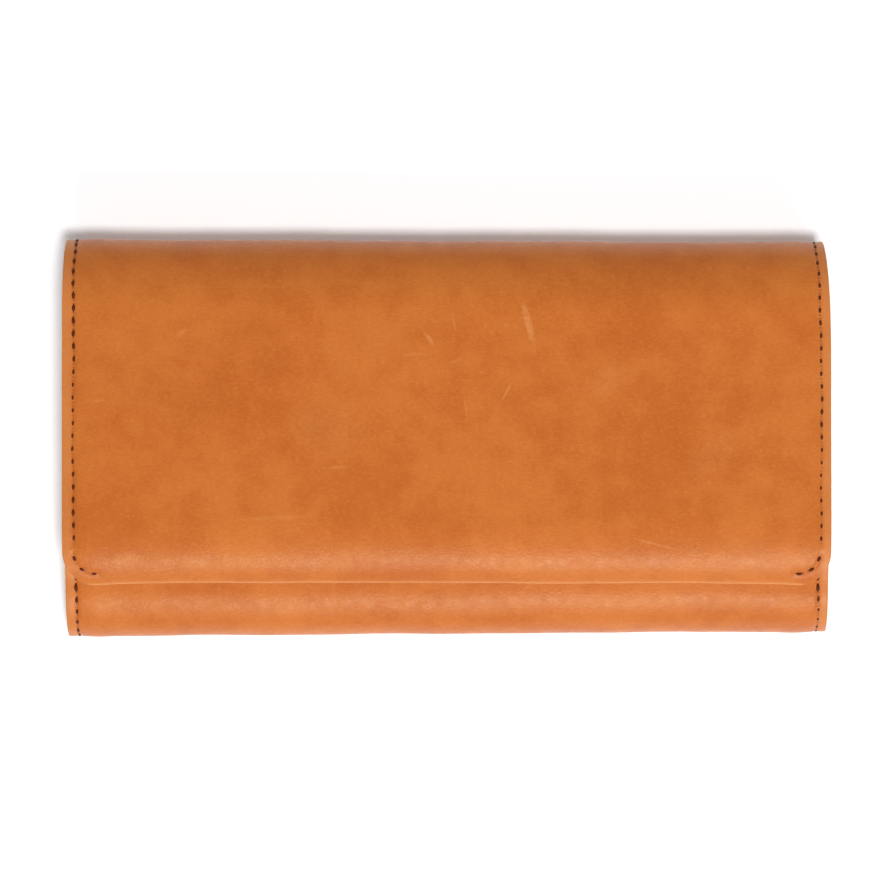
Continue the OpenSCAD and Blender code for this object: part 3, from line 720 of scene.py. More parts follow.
# %% Lining leather
def lining_leather(name, light, dark):
    """Matte leather: cloudy tone, short fibres, and a fine nap as bump."""
    made, tree, shader = new_material(name, Specular_IOR_Level=0.25, Sheen_Weight=0.25, Sheen_Roughness=0.5)
    where = lay_mm(tree)
    nap = noise(tree, lay_mm(tree, (1, 2.2, 1)), 0.35, 4, 0.7)
    clouds = calc(tree, "MULTIPLY", noise(tree, where, 22, 3), 0.6)
    tone = calc(tree, "ADD", clouds, calc(tree, "MULTIPLY", nap, 0.4))
    base = mixed(tree, ramp(tree, tone, 0.35, 0.65), colour(*dark), colour(*light))
    cut = node(tree, "Attribute", attribute_name="cut").outputs["Fac"]
    base = mixed(tree, ramp(tree, cut, 0.2, 0.9, 0, 0.6), base, colour(116, 68, 38))
    skin = bumped(tree, nap, 0.5, 0.08 * MM)
    skin = bumped(tree, noise(tree, where, 3.2, 5, 0.6), 0.3, 0.2 * MM, skin)
    wire(tree, shader, Base_Color=base, Normal=skin, Roughness=ramp(tree, tone, 0.3, 0.7, 0.68, 0.82))
    return made


suede = lining_leather("lining_suede", (196, 146, 98), (170, 118, 74))
card_leather = lining_leather("card_leather", (204, 134, 76), (178, 108, 54))
print("finishes", suede.name, card_leather.name)

# %% Linings
coarse_steps = np.concatenate([np.arange(0, 1.2, 0.4), [2, 4, 7]]) * MM
lining_kind = dict(t0=shell_t, relief=0, narrower=0.3 * MM, fine=1 * MM, side=coarse_steps, middle=40)
front_lining_shape = hide_shape(0.3 * MM, run_fold0 - 6 * MM, real_start=True, real_end=True, **lining_kind)
back_lining_shape = hide_shape(run_fold1 + 0.5 * MM, run_spine, real_start=True, **lining_kind)
flap_lining_shape = hide_shape(run_spine, run_edge, rounded_end=True, **lining_kind)
front_lining = leaf("front_lining_leather", front_lining_shape, lining_t, 0.2 * MM)
back_lining = leaf("back_lining_leather", back_lining_shape, lining_t, 0.2 * MM)
flap_lining = leaf("flap_lining_leather", flap_lining_shape, lining_t, 0.2 * MM)
place(front_lining, suede, "lining_leather", "front_lining", body="front")
place(back_lining, suede, "lining_leather", "back_lining", bend=spine_bend)
place(flap_lining, suede, "lining_leather", "spine_lining", "flap_lining", bend=flap_bend)

# %% [markdown]
# ## Card pockets
# Three pockets lie on the flap's lining like roof tiles, each mouth a step lower, so that the top
# of every card shows. One folded leaf could give all three. Three plain leaves are simpler, and
# each has its own cut edge at the mouth, which is what the eye looks for.

# %% Card pockets
card_mouth, card_step, tiers = flap_edge_y + 19 * MM, 8 * MM, 3
card_bottom_y = spine_y - 22.25 * MM
for tier in range(tiers):
    shape = hide_shape(flap_run(card_bottom_y), flap_run(card_mouth + tier * card_step),
                       real_start=True, real_end=True, t0=wall_t + tier * card_t,
                       narrower=0.6 * MM, relief=0, fine=0.7 * MM, side=coarse_steps, middle=60)
    card = leaf(f"card_slot_{tier + 1}", shape, card_t, 0.25 * MM)
    place(card, card_leather, "lining_leather", f"card_pocket_{tier + 1}", body="flap")

# %% [markdown]
# ## Waxed thread
# A saddle stitch is a short bow of flattened thread that dives into the leather at both ends. Each
# could be a curve with a bevel, but there are hundreds. So all the stitches of a row are made at
# once, as an array of rings, with only a few faces each. The ply of the thread is left to the bump.


# %% Closed tubes from rings
def lofts(name, *sets, looped=False, lays=None, sharp=50):
    """Closed tubes. Each set is an array (tubes, rings, sides, 3): neighbouring rings are joined,
    and the end rings are capped, or joined to each other when looped."""
    points, faces, start = [], [], 0
    for rings in sets:
        count, k, m = rings.shape[:3]
        numbers = np.arange(count * k * m).reshape(count, k, m)
        here, ahead = (numbers, np.roll(numbers, -1, 1)) if looped else (numbers[:, :-1], numbers[:, 1:])
        tables = [np.stack([here, np.roll(here, -1, 2), np.roll(ahead, -1, 2), ahead], -1).reshape(-1, 4)]
        if not looped:
            tables += [numbers[:, 0, ::-1], numbers[:, -1]]
        flat = rings.reshape(-1, 3)
        tables = [t[:, ::-1] for t in tables] if signed_volume(flat, tables) < 0 else tables
        points.append(flat)
        faces += [t + start for t in tables]
        start += len(flat)
    points = np.vstack(points)
    return build(name, points, faces, {"lay": points if lays is None else lays}, sharp)


print("helper for tubes", lofts.__name__)


# %% Stitches as small bows
def stitch_frames(stitches, course, t0, face):
    """Centre, direction and outward direction of each stitch on a traced sheet. face is -1 for the
    outer side, where outwards is against the normal, and 1 for the inner side."""
    across, run, turn = stitches.T
    point, normal = along(course, run)
    centre = np.column_stack([across, point + t0 * normal])
    ahead = np.column_stack([np.sin(turn), np.cos(turn) * normal[:, 1], -np.cos(turn) * normal[:, 0]])
    return leaned(centre), ahead, np.column_stack([0 * run, face * normal])


def threads(name, centre, ahead, out, low=-0.95 * MM, high=-0.18 * MM, length=stitch_l, r=0.41 * MM):
    """Stitches as bows: the middle line is at low + (high - low) (1 - u^2), with u from -1 to 1
    along the stitch, and the section is a flattened six-sided ring that thins towards the ends."""
    u = np.array([-1, -0.75, -0.4, 0, 0.4, 0.75, 1])
    phi = np.arange(6) * np.pi / 3
    lift = low + np.multiply.outer(high - low + np.zeros(len(centre)), 1 - u ** 2)
    aside = np.cross(ahead, out)
    line = centre[:, None] + ahead[:, None] * (u * length * 0.52)[None, :, None]
    line = line + out[:, None] * lift[..., None]
    ring = aside[:, None] * np.cos(phi)[None, :, None] * r
    ring = ring + out[:, None] * np.sin(phi)[None, :, None] * r * 0.8
    rings = line[:, :, None] + ring[:, None] * (1 - 0.45 * u ** 2)[None, :, None, None]
    number = np.arange(len(rings))[:, None, None] * MM
    lays = np.stack(np.broadcast_arrays(phi * r, (u * length / 2)[None, :, None], number), -1)
    return lofts(name, rings, lays=lays.reshape(-1, 3), sharp=80)


first_frame = stitch_frames(all_stitches[:1], hide, 0, -1)
print("the first stitch lies at", np.round(1000 * first_frame[0][0], 1), "mm")


# %% Thread finish
def waxed_thread(name):
    """Dark waxed polyester: slanting ply across the stitch, its grooves painted darker as shade, and flecks
    of dried wax.
    """
    made, tree, shader = new_material(name, Specular_IOR_Level=0.25)
    where = lay_mm(tree)
    slanted = node(tree, "Mapping", {"Vector": where, "Rotation": (0, 0, 0.9)}).outputs[0]
    ply = node(tree, "TexWave", {"Vector": slanted, "Scale": 1.1, "Distortion": 0.6}).outputs["Fac"]
    wax = noise(tree, where, 0.5, 3)
    # Painted shade: the grooves between the plies are darker.
    base = mixed(tree, ramp(tree, ply, 0.2, 0.8), colour(74, 28, 10), colour(112, 50, 22))
    base = mixed(tree, ramp(tree, wax, 0.6, 0.8, 0, 0.4), base, colour(146, 82, 44))
    wire(tree, shader, Base_Color=base, Normal=bumped(tree, ply, 0.6, 0.08 * MM),
         Roughness=ramp(tree, wax, 0.3, 0.7, 0.45, 0.65))
    return made


dark_thread = waxed_thread("waxed_thread")
print("finish", dark_thread.name)

# %% Stitches of the hide
proud, flush, turned_high = -0.20 * MM, -0.40 * MM, 0.02 * MM
front_high = np.where(front_stitches[:, 1] < run_fold0, proud, flush)
back_high = np.where(back_stitches[:, 1] > run_back1, proud, flush)
front_thread = threads("front_thread", *stitch_frames(front_stitches, hide, 0, -1), high=front_high)
back_thread = threads("back_thread", *stitch_frames(back_stitches, hide, 0, -1), high=back_high)
flap_high = np.where(flap_stitches[:, 2] ** 2 > 0.01, turned_high, -0.18 * MM)
flap_thread = threads("flap_thread", *stitch_frames(flap_stitches, hide, 0, -1), high=flap_high)
place(front_thread, dark_thread, "thread", "front_stitching", bend=fold_bend)
place(back_thread, dark_thread, "thread", "back_stitching", bend=spine_bend)
place(flap_thread, dark_thread, "thread", "spine_stitching", "flap_stitching", bend=flap_bend)

# %% Stitches of the card pockets
card_reach = half_w - 0.6 * MM - stitch_inset
bottom_x = np.arange(-card_reach, card_reach, stitch_pitch)
bottom_run = flap_run(card_bottom_y - 1.5 * MM)
bottom_seam = np.column_stack([bottom_x, bottom_run + 0 * bottom_x, np.pi / 2 + 0 * bottom_x])
frames = [stitch_frames(bottom_seam, hide, wall_t + tiers * card_t, 1)]
for tier in range(tiers):
    top = card_bottom_y - 3 * MM if tier == tiers - 1 else card_mouth + (tier + 1) * card_step - 0.6 * MM
    foot = card_mouth + tier * card_step + stitch_l / 2 + 0.4 * MM
    ys = np.arange(top - stitch_l / 2, foot, -stitch_pitch)
    column = np.column_stack([0 * ys, flap_run(ys), 0 * ys])
    frames.append(stitch_frames(column, hide, wall_t + (tier + 1) * card_t, 1))
thin_seam = dict(low=-0.35 * MM, high=0.02 * MM, r=0.28 * MM)
card_thread = threads("card_thread", *[np.vstack(part) for part in zip(*frames)], **thin_seam)
place(card_thread, dark_thread, "thread", "card_stitching", body="flap")

# %% [markdown]
# ## The zipped coin pocket
# Two walls of thin leather close towards the bottom, and strips close the sides. A box with rounded
# edges would look like a tin. So each wall is a leaf on a line of its own, flat at the mouth and
# sloping to a narrow foot, and the side strips bow out a little between the walls.

# %% Pocket walls
wall_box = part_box("pocket_front_wall")
pocket_half, pocket_y1, pocket_y0 = wall_box[1].x, wall_box[1].y, wall_box[0].y
wall_leather_t = 0.9 * MM
rear_z, coin_z0 = 6.9 * MM, 7.8 * MM
coin_z1, pocket_z = wall_box[1].z - wall_leather_t, wall_box[1].z
meet_z, slope_y = 5.6 * MM, fold_y + 29 * MM
rear_slope = bezier([(pocket_y0, meet_z - wall_leather_t), (pocket_y0 + 10 * MM, rear_z - 1.2 * MM),
                     (slope_y - 8 * MM, rear_z), (slope_y, rear_z)])
front_slope = bezier([(slope_y, pocket_z), (slope_y - 8 * MM, pocket_z),
                      (pocket_y0 + 11 * MM, meet_z + 3.4 * MM), (pocket_y0, meet_z + wall_leather_t)])
rear_line = trace(rear_slope, straight((slope_y, rear_z), (pocket_y1, rear_z)))
front_line = trace(straight((pocket_y1, pocket_z), (slope_y, pocket_z)), front_slope)
wall_kind = dict(half=pocket_half, relief=0, fine=1 * MM, real_start=True, real_end=True,
                 side=coarse_steps, middle=40)
for word, line in (("rear", rear_line), ("front", front_line)):
    wall_shape = hide_shape(0, line[0][-1], course=line, **wall_kind)
    wall = leaf(f"pocket_{word}_leather", wall_shape, wall_leather_t, 0.3 * MM)
    place(wall, card_leather, "lining_leather", f"pocket_{word}_wall", body="pocket")


# %% Strips that close the pocket's sides
def pocket_side(side):
    """A strip between the two walls' inner faces. Its middle bows outwards as a parabola."""
    def shape(inset, depth):
        y = np.linspace(pocket_y1 - inset, pocket_y0 + 3 * MM + inset, 50)[:, None]
        share = np.linspace(0, 1, 9)[None]
        low = np.interp(y, rear_line[1][:, 0], rear_line[1][:, 1]) + wall_leather_t * 0.9 + inset
        high = np.interp(-y, -front_line[1][:, 0], front_line[1][:, 1]) - wall_leather_t * 0.9 - inset
        z = low + (high - low) * share
        x = side * (pocket_half - 1.1 * MM + 0.9 * MM * 4 * share * (1 - share) - depth + 0 * y)
        return leaned(np.stack([x, y + 0 * z, z], -1)), np.stack([x, y + 0 * z, z], -1)
    return leaf(f"pocket_side_{'left' if side < 0 else 'right'}", shape, 0.7 * MM, 0.15 * MM)


for side in (-1, 1):
    place(pocket_side(side), card_leather, "lining_leather", body="pocket")

# %% [markdown]
# ## Gussets
# A gusset is a strip folded like a bellows, so that a compartment opens but its sides stay shut.
# Seen from the mouth it is a U that lies on its side: a leaf on each wall and a round fold between
# them. Cloth simulation could fold it at each pose, but one mesh has to serve all of them. The coin
# pocket turns half as far as the front does about the same line, so the front gusset is cut at its
# fold, and its lower half rides on the pocket.

# %% Gusset shapes
gusset_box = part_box("rear_gusset_back_right")
gusset_x, fold_x = gusset_box[1].x, gusset_box[0].x
gusset_y0, gusset_y1 = slope_y - 3.75 * MM, pocket_y1
glue = 0.05 * MM


def half_fold(z_leaf, z_mid):
    """Line across the gusset, from the outer edge of a leaf to the middle of the fold."""
    leaf_x = fold_x + 5 * MM
    fold = bezier([(leaf_x, z_leaf), (fold_x + 1.6 * MM, z_leaf),
                   (fold_x, (z_leaf + z_mid) / 2), (fold_x, z_mid)], 40)
    return trace(straight((gusset_x, z_leaf), (leaf_x, z_leaf), 20), fold)


def gusset(name, side, line, z_of=lambda y, z: z, real_end=True, sign=1):
    """Strip along Y: each point is a point of the section line, which lies across and up, plus
    depth along the line's normal, to the side that sign gives. z_of may change its height."""
    def shape(inset, depth):
        run = np.linspace(inset, line[0][-1] - (inset if real_end else 0), 48)
        point, normal = along(line, run)
        y = np.linspace(gusset_y1 - inset, gusset_y0 + inset, 40)[:, None]
        x = side * (point[:, 0] + sign * depth * normal[:, 0])[None] + 0 * y
        z = z_of(y, (point[:, 1] + sign * depth * normal[:, 1])[None] + 0 * y)
        lay = np.stack([run[None] + 0 * y, y + 0 * x, depth + 0 * x], -1)
        return leaned(np.stack([x, y + 0 * x, z], -1)), lay
    return leaf(name, shape, gusset_t, 0.2 * MM)


print(f"gussets reach {1000 * (gusset_x - fold_x):.1f} mm in, {1000 * (gusset_y1 - gusset_y0):.1f} mm long")

# %% Rear and front gussets
rear_low, rear_high = wall_t, rear_z
rear_mid, front_mid = (rear_low + rear_high) / 2, pocket_z + 2.3 * MM
low_half, high_half = half_fold(rear_low + glue, rear_mid), half_fold(rear_high - glue, rear_mid)
whole = trace(low_half[1], high_half[1][::-1])
front_inner_z = front_z - wall_t
inner_y, inner_z = (hide[1] + wall_t * hide[2])[on_front].T


def under_front(y, z):
    """Squeezes heights above the fold so that the upper leaf follows the front's inner face: the
    height over the fold times the room there is at y, over the room at the mouth."""
    room = np.interp(-y, -inner_y, inner_z) - glue - front_mid
    squeezed = front_mid + (z - front_mid) * room / (front_inner_z - glue - front_mid)
    return np.where(z > front_mid, squeezed, z)


for side, word in ((-1, "left"), (1, "right")):
    rear = gusset(f"rear_gusset_{word}", side, whole, sign=-1)
    place(rear, suede, "lining_leather", f"rear_gusset_back_{word}", f"rear_gusset_pocket_{word}",
          bend=("back", "pocket", (0, 0, rear_low + gusset_t), (0, 0, rear_high - gusset_t)))
    lower_line, upper_line = half_fold(pocket_z + glue, front_mid), half_fold(front_inner_z - glue, front_mid)
    lower = gusset(f"front_gusset_lower_{word}", side, lower_line, real_end=False, sign=-1)
    place(lower, suede, "lining_leather", f"front_gusset_pocket_{word}", body="pocket")
    upper = gusset(f"front_gusset_upper_{word}", side, upper_line, under_front, real_end=False)
    place(upper, suede, "lining_leather", f"front_gusset_front_{word}",
          bend=("back", "front", (0, 0, 2 * front_mid - front_inner_z), (0, 0, front_inner_z)))

# %% [markdown]
# ## The zip
# The mouth of the coin pocket carries the zip: two woven tapes, teeth clamped to their edges, stops
# at both ends, and a slider with a wire link and a leather tab. A metal could be a grey with a
# strong highlight, but then it reflects like plastic. So the metals are fully metallic, with their
# own colour, brushed roughness and clouds of tarnish. The tape is a twill: two crossed sets of
# fine waves.


# %% Metal and cloth finishes
def aged_metal(name, bright, tarnish, rough=0.32):
    """Plated metal: clouds of tarnish, fine brush lines and small dents."""
    made, tree, shader = new_material(name, Metallic=1.0)
    metres = node(tree, "TexCoord").outputs["Object"]
    where = node(tree, "VectorMath", {0: metres, 1: (1000, 1000, 1000)}, operation="MULTIPLY").outputs[0]
    drawn_out = node(tree, "VectorMath", {0: where, 1: (0.5, 6, 6)}, operation="MULTIPLY").outputs[0]
    clouds, brushed = noise(tree, where, 1.8, 4, 0.6), noise(tree, drawn_out, 0.5, 3)
    base = mixed(tree, ramp(tree, clouds, 0.38, 0.68), colour(*bright), colour(*tarnish))
    gloss = ramp(tree, brushed, 0.3, 0.7, rough - 0.08, rough + 0.12)
    wire(tree, shader, Base_Color=base, Roughness=gloss, Normal=bumped(tree, brushed, 0.25, 0.03 * MM))
    return made


def woven_tape(name):
    """Polyester twill: the height is the larger of two slanting waves, and the valleys are painted darker as
    shade.
    """
    made, tree, shader = new_material(name, Specular_IOR_Level=0.3, Sheen_Weight=0.3, Sheen_Roughness=0.4)
    where = lay_mm(tree)
    weave = None
    for turn in (0.7, -0.7):
        turned = node(tree, "Mapping", {"Vector": where, "Rotation": (0, 0, turn)}).outputs[0]
        wave = node(tree, "TexWave", {"Vector": turned, "Scale": 0.62, "Distortion": 0.3}).outputs["Fac"]
        weave = wave if weave is None else calc(tree, "MAXIMUM", weave, wave)
    tone = calc(tree, "ADD", weave, calc(tree, "MULTIPLY", noise(tree, where, 5, 2), 0.3))
    # Painted shade: the weave's valleys are darker.
    base = mixed(tree, ramp(tree, tone, 0.2, 1.2), colour(58, 38, 25), colour(112, 78, 52))
    wire(tree, shader, Base_Color=base, Normal=bumped(tree, weave, 0.6, 0.1 * MM),
         Roughness=ramp(tree, weave, 0, 1, 0.9, 0.75))
    return made


brass = aged_metal("aged_brass", (196, 160, 92), (128, 94, 48))
plated = aged_metal("antique_plating", (204, 178, 128), (120, 94, 60), 0.34)
iron = aged_metal("magnet_iron", (108, 108, 112), (70, 70, 74), 0.5)
tape_cloth = woven_tape("zip_tape_cloth")
print("finishes", brass.name, plated.name, iron.name, tape_cloth.name)

# %% Tapes
tape_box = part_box("zip_tape_front")
tape_half, tape_y0, tape_y1 = tape_box[1].x, tape_box[0].y, tape_box[1].y
zip_z = (coin_z0 + coin_z1) / 2
tape_t = tape_box[1].z - tape_box[0].z


def tape(name, side):
    """A woven flat strip along X, x and y from the grid and z from depth. side is 1 towards the
    front, -1 towards the back."""
    def shape(inset, depth):
        y = np.linspace(tape_y0 + inset, tape_y1 - inset, 12)[:, None]
        x = np.linspace(-tape_half + inset, tape_half - inset, 90)[None]
        z = zip_z + side * (tape_box[1].z - zip_z - depth) + 0 * y + 0 * x
        return np.stack([x + 0 * y, y + 0 * x, z], -1), np.stack([x + 0 * y, y + 0 * x, z], -1)
    return leaf(name, shape, tape_t, 0.1 * MM)


for word, side in (("front", 1), ("rear", -1)):
    place(tape(f"zip_cloth_{word}", side), tape_cloth, "zip_cloth", f"zip_tape_{word}", body="pocket")

# %% Teeth
teeth_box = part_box("zip_teeth_front")
tooth_pitch, tooth_w = 2 * MM, 0.85 * MM
tooth_root, tooth_tip = teeth_box[1].z - zip_z, zip_z - teeth_box[0].z
tooth_h = teeth_box[1].y - teeth_box[0].y


def teeth(name, side, first, last):
    """Teeth side by side. Each is an outline seen along the zip, a foot on the tape and a rounded
    head past the middle, drawn out to its width in four rings with the outer two smaller."""
    foot, tip = tooth_root, -tooth_tip
    outline = np.array([(tip, 0.3), (tip + 0.25 * MM, 0.02), (tip + 1.1 * MM, 0.12), (foot - 1 * MM, 0),
                        (foot, 0), (foot, 0.72), (foot - 0.3 * MM, 1), (foot - 1 * MM, 1),
                        (tip + 1.1 * MM, 0.85), (tip + 0.25 * MM, 0.98), (tip, 0.75)])
    middle = outline.mean(0)
    wide, size = np.array([0, 0.12, 0.88, 1]) * tooth_w, np.array([0.84, 1, 1, 0.84])
    shape = middle + (outline - middle) * size[:, None, None]
    x = np.arange(first, last, tooth_pitch)[:, None, None] + wide[None, :, None]
    y, z = teeth_box[0].y + shape[None, ..., 1] * tooth_h, zip_z + side * shape[None, ..., 0]
    return lofts(name, np.stack(np.broadcast_arrays(x, y, z), -1), sharp=35)


chain_half = 70 * MM
print("teeth in each row", math.ceil((2 * chain_half - tooth_w) / tooth_pitch))
for word, side, first in (("front", 1, tooth_pitch / 2), ("rear", -1, 0)):
    row = teeth(f"zip_chain_{word}", side, first - chain_half, chain_half - tooth_w)
    place(row, brass, "zip_brass", f"zip_teeth_{word}", body="pocket")


# %% [markdown]
# ## Stops, slider and pull
# Small stamped metal parts are flat plates with rolled edges, and bent wire. A cube with a bevel
# comes close, but an outline that rolls over at both faces, like the leather's rim, gives round
# corners as well. The wire is an oval section carried along a path. The slider is a deck, two
# flanges and an arch that holds the link.


# %% Rounded plates and bent wire
def rounded_box(wide, high, r, steps=6):
    """Outline of a rectangle about the origin, anticlockwise, with quarter circles at its corners:
    the corner's centre plus r times the cosine and sine of a quarter turn."""
    quarters = [(1, 1, 0), (-1, 1, 1), (-1, -1, 2), (1, -1, 3)]
    corners = []
    for right, up, quarter_turns in quarters:
        turn = np.linspace(0, np.pi / 2, steps) + quarter_turns * np.pi / 2
        corners.append(np.column_stack([right * (wide / 2 - r) + r * np.cos(turn),
                                        up * (high / 2 - r) + r * np.sin(turn)]))
    return np.vstack(corners)


def plate(outline, low, high, r, axis):
    """Rings of a flat plate with rolled edges, between two heights along an axis (0, 1 or 2). The
    outline moves in by r (1 - sin a) while the height grows by r (1 - cos a)."""
    ahead = np.roll(outline, -1, 0) - np.roll(outline, 1, 0)
    out = np.column_stack([ahead[:, 1], -ahead[:, 0]]) / np.linalg.norm(ahead, axis=1)[:, None]
    turn = np.linspace(0, np.pi / 2, 4)
    inset = np.concatenate([r * (1 - np.sin(turn)), r * (1 - np.sin(turn[::-1]))])
    height = np.concatenate([low + r * (1 - np.cos(turn)), high - r * (1 - np.cos(turn[::-1]))])
    flat = outline[None] - inset[:, None, None] * out[None]
    up = np.broadcast_to(height[:, None], flat.shape[:2])
    parts = [flat[..., 0], flat[..., 1]]
    parts.insert(axis, up)
    return np.stack(parts, -1)[None]


def wire_loop(points, r_aside, r_out, aside, closed, sides=12):
    """Tube along points that lie in a plane square to aside: at each of them an oval section, with
    cos a times one radius aside and sin a times the other outwards."""
    points, aside = np.asarray(points, float), np.asarray(aside, float)
    ahead = np.roll(points, -1, 0) - np.roll(points, 1, 0) if closed else np.gradient(points, axis=0)
    ahead /= np.linalg.norm(ahead, axis=1)[:, None]
    out = np.cross(ahead, aside)
    phi = np.arange(sides) * 2 * np.pi / sides
    ring = np.cos(phi)[None, :, None] * aside * r_aside + np.sin(phi)[None, :, None] * out[:, None] * r_out
    return (points[:, None] + ring)[None]


print("points round a plate", len(rounded_box(1, 1, 0.2)))

# %% End stops
stop_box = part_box("zip_end_stops")
stop_l = 1.8 * MM
stop_plates = []
for x in (stop_box[0].x + stop_l / 2, stop_box[1].x - stop_l / 2):
    outline = rounded_box(stop_l, stop_box[1].z - stop_box[0].z, 0.5 * MM) + np.array([x, zip_z])
    stop_plates.append(plate(outline, stop_box[0].y, stop_box[1].y, 0.25 * MM, 1))
place(lofts("zip_stops", *stop_plates, sharp=35), brass, "zip_brass", "zip_end_stops", body="pocket")

# %% Slider
slider_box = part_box("zip_slider")
slider_x, slider_l = (slider_box[0].x + slider_box[1].x) / 2, slider_box[1].x - slider_box[0].x
link_box, tab_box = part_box("zip_pull_link"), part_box("zip_pull_tab")
pivot_y = (link_box[0].y + link_box[1].y) / 2
flange_t, crown_t = 0.7 * MM, 0.6 * MM
crown_y0 = pivot_y - 1.3 * MM
deck = rounded_box(slider_l, slider_box[1].z - slider_box[0].z, 1.5 * MM) + np.array([slider_x, zip_z])
slider_parts = [plate(deck, crown_y0 - 0.9 * MM, crown_y0, 0.25 * MM, 1)]
for low in (slider_box[0].z, slider_box[1].z - flange_t):
    flange = rounded_box(slider_l, crown_y0 - slider_box[0].y, 0.9 * MM)
    flange += np.array([slider_x, (crown_y0 + slider_box[0].y) / 2])
    slider_parts.append(plate(flange, low, low + flange_t, 0.2 * MM, 2))
turn = np.linspace(0, np.pi, 15)
arch_r = 1.5 * MM
arch_y = pivot_y - 0.25 * MM
arch = [(slider_x + arch_r, crown_y0 - 0.4 * MM, zip_z)]
arch += [(slider_x + arch_r * math.cos(t), arch_y + arch_r * math.sin(t), zip_z) for t in turn]
arch += [(slider_x - arch_r, crown_y0 - 0.4 * MM, zip_z)]
slider_parts.append(wire_loop(arch, crown_t, 0.42 * MM, (0, 0, 1), False))
place(lofts("zip_slider_body", *slider_parts, sharp=40), plated, "zip_metal", "zip_slider", body="slider")

# %% Link and tab
link_r = 0.5 * MM
link_wide = link_box[1].z - link_box[0].z - 2 * link_r
link_long = link_box[1].x - link_box[0].x - 2 * link_r
link_mid = np.array([(link_box[0].x + link_box[1].x) / 2, zip_z])
link_line = rounded_box(link_long, link_wide, 0.6 * MM) + link_mid
link_points = np.column_stack([link_line[:, 0], np.full(len(link_line), pivot_y), link_line[:, 1]])
link = lofts("zip_link", wire_loop(link_points, link_r * 0.9, link_r, (0, 1, 0), True), looped=True, sharp=60)
place(link, plated, "zip_metal", "zip_pull_link", body="pull")
tab_long, tab_wide = tab_box[1].x - tab_box[0].x, tab_box[1].z - tab_box[0].z
tab_mid = np.array([(tab_box[0].x + tab_box[1].x) / 2, zip_z])
tab_half = (tab_box[1].y - tab_box[0].y) / 2
tab_outline = rounded_box(tab_long, tab_wide, tab_wide * 0.42, 10) + tab_mid
tab_halves = [plate(tab_outline, pivot_y - tab_half, pivot_y - 0.02 * MM, 0.28 * MM, 1),
              plate(tab_outline, pivot_y + 0.02 * MM, pivot_y + tab_half, 0.28 * MM, 1)]
tab = lofts("zip_tab", *tab_halves, sharp=60)
place(tab, card_leather, "outer_leather", "zip_pull_tab", body="pull")
tab_x = np.arange(tab_box[0].x + 4 * MM, tab_box[1].x - 2.4 * MM, 2.6 * MM)
tab_at = np.array([(x, pivot_y + face * tab_half, zip_z + row * 1.7 * MM)
                   for face in (-1, 1) for row in (-1, 1) for x in tab_x])
tab_out = np.sign(tab_at[:, 1:2] - pivot_y) * np.array([[0, 1, 0]])
tab_ahead = np.tile([[1.0, 0, 0]], (len(tab_at), 1))
tab_thread = threads("tab_thread", tab_at, tab_ahead, tab_out, low=-0.25 * MM, high=0.04 * MM,
                     length=1.8 * MM, r=0.22 * MM)
place(tab_thread, dark_thread, "thread", body="pull")

# %% Stitches that hold the tapes
seam_y = (tape_y0 + pocket_y1) / 2
seam_x = np.arange(-(tape_half - 2 * MM), tape_half - 2 * MM, stitch_pitch)
seam_at = np.array([(x, seam_y, z) for z in (rear_z, pocket_z) for x in seam_x])
seam_out = np.array([(0, 0, s) for s in (-1.0, 1.0) for x in seam_x])
seam_ahead = np.tile([[1.0, 0, 0]], (len(seam_at), 1))
seam_thread = threads("zip_thread", seam_at, seam_ahead, seam_out, **thin_seam)
place(seam_thread, dark_thread, "thread", "zip_stitching", body="pocket")

# %% [markdown]
# ## The magnetic snap
# The post of the stud drops into the cup, and a ring magnet hides in the cup's wall. Both halves are
# turned parts, so each is a profile spun about the snap's own axis, which stands square on the
# front. The Spin tool or a Screw modifier could do that about one of the scene's axes. Here the
# axis leans, so the circle is worked out from two directions square to it.


# %% Turned parts
snap_run = np.interp(-(flap_edge_y + 12 * MM), -hide[1][on_front, 0], hide[0][on_front])
snap_point, snap_normal = along(hide, snap_run)
snap_at, snap_axis = np.array([0, *snap_point]), np.array([0, *-snap_normal])
snap_up = np.cross(snap_axis, [1.0, 0, 0])
print("the snap stands at", np.round(1000 * snap_at, 1), "mm")


def turned(name, profile, sides=64):
    """Spins (radius, height) round the snap's axis: centre + radius around it + height along it."""
    phi = np.arange(sides) * 2 * np.pi / sides
    radius, height = np.asarray(profile, float).T * MM
    across = np.stack([np.cos(phi), 0 * phi, 0 * phi], -1) + np.sin(phi)[:, None] * snap_up
    rings = snap_at + radius[:, None, None] * across[None] + height[:, None, None] * snap_axis
    return lofts(name, rings[None], sharp=40)


CUP = [(0.05, 0.4), (2.5, 0.4), (2.7, 0.6), (2.7, 1.55), (2.95, 1.8), (3.3, 1.8), (3.45, 1.68),
       (3.6, 1.8), (4.6, 1.8), (4.9, 1.68), (5, 1.4), (5, -0.2), (4.9, -0.25), (1.5, -0.25),
       (1.5, -1.6), (0.05, -1.6)]
STUD = [(0.05, 1.0), (1.8, 1.0), (2.1, 1.15), (2.2, 1.4), (2.2, 2.0), (2.4, 2.1), (3.9, 2.1),
        (4.05, 2.2), (4.2, 2.1), (4.7, 2.1), (4.95, 2.25), (5, 2.5), (5, 3.0), (4.9, 3.15),
        (1.5, 3.15), (1.5, 3.9), (0.05, 3.9)]
socket = turned("snap_cup", CUP)
stud = turned("snap_stud_head", STUD)
place(socket, plated, "snap_metal", "snap_socket", body="front")
place(stud, plated, "snap_metal", "snap_stud", body="flap")
hidden = {"snap_magnet": iron, "snap_stud_washer": plated, "snap_socket_washer": plated}
for name, finish in hidden.items():
    part = frame["nodes"][name]
    part.data.materials.clear()
    part.data.materials.append(finish)

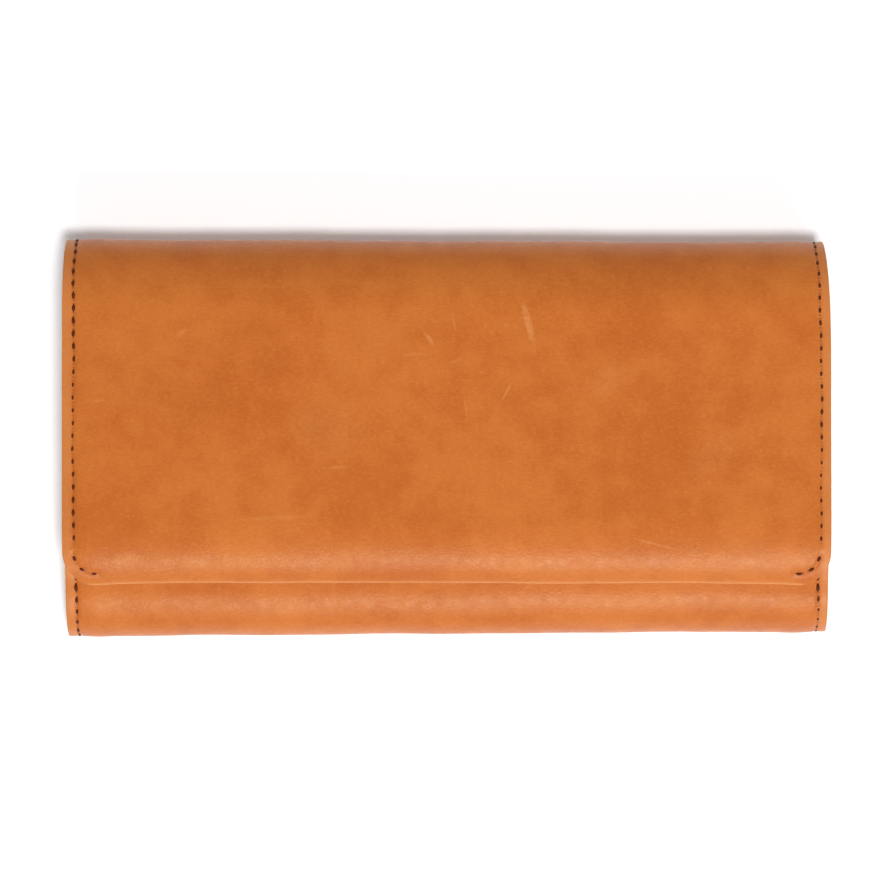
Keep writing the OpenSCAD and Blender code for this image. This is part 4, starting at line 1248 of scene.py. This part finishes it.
# %% [markdown]
# ## Floor and backdrop
# The wallet lies on white paper, which is lit by the lamps and glows a little by itself, so that
# it stays white up to the shadow. A studio sweeps its paper up behind the object. The world could be
# white instead, but it would wash out the shadow. So the sweep is a bowl round the floor: a flat
# ring that rises in a quarter circle. Only the camera sees it, so it doesn't light the wallet.

# %% Floor and backdrop
floor_z, floor_r, sweep_r = -0.05 * MM, 0.7, 2.5
floor_glow, backdrop_glow, even_r = 0.14, 1.0, 0.25


def white_paper(name, glow):
    """Matte paper with a faint grain. It gives off some light of its own, and more far out, where
    the lamps don't reach."""
    made, tree, shader = new_material(name, Roughness=0.9, Specular_IOR_Level=0.1)
    fine = noise(tree, node(tree, "TexCoord").outputs["Object"], 0.2, 2)
    wire(tree, shader, Base_Color=mixed(tree, fine, colour(250, 251, 252), colour(252, 253, 254)))
    shader.inputs["Emission Color"].default_value = (1, 1, 1, 1)
    middle = node(tree, "TexCoord").outputs["Object"]
    away = node(tree, "VectorMath", {0: middle}, operation="LENGTH").outputs["Value"]
    wire(tree, shader, Emission_Strength=ramp(tree, away, even_r, floor_r, glow, 1))
    return made


def spun_sheet(name, profile, finish, sides=96):
    """Open sheet for the stage: each (radius, height) of the profile goes round the upright axis."""
    phi = np.arange(sides) * 2 * np.pi / sides
    radius, height = np.asarray(profile, float).T
    across = np.stack([np.cos(phi), np.sin(phi)], -1)
    rings = np.stack([*np.moveaxis(radius[:, None, None] * across, -1, 0), height[:, None] + 0 * phi], -1)
    numbers = np.arange(rings[..., 0].size).reshape(len(radius), sides)
    mesh = bpy.data.meshes.new(name)
    mesh.from_pydata(rings.reshape(-1, 3).tolist(), [], quads(numbers, wrap=True)[:, ::-1].tolist())
    mesh.materials.append(finish)
    sheet = bpy.data.objects.new(name, mesh)
    bpy.context.scene.collection.objects.link(sheet)
    print(f"{name}: out to {radius[-1]:.1f} m")
    return sheet


spun_sheet("floor", [(0.001, floor_z), (floor_r, floor_z)], white_paper("white_paper", floor_glow))
rise = np.linspace(0, np.pi / 2, 16)
sweep = [(floor_r - 0.05, floor_z - 1 * MM)]
sweep += [(sweep_r + sweep_r * math.sin(t), floor_z - 1 * MM + sweep_r * (1 - math.cos(t))) for t in rise]
backdrop = spun_sheet("backdrop", sweep, white_paper("backdrop_paper", backdrop_glow))
backdrop.visible_diffuse = backdrop.visible_glossy = backdrop.visible_shadow = False
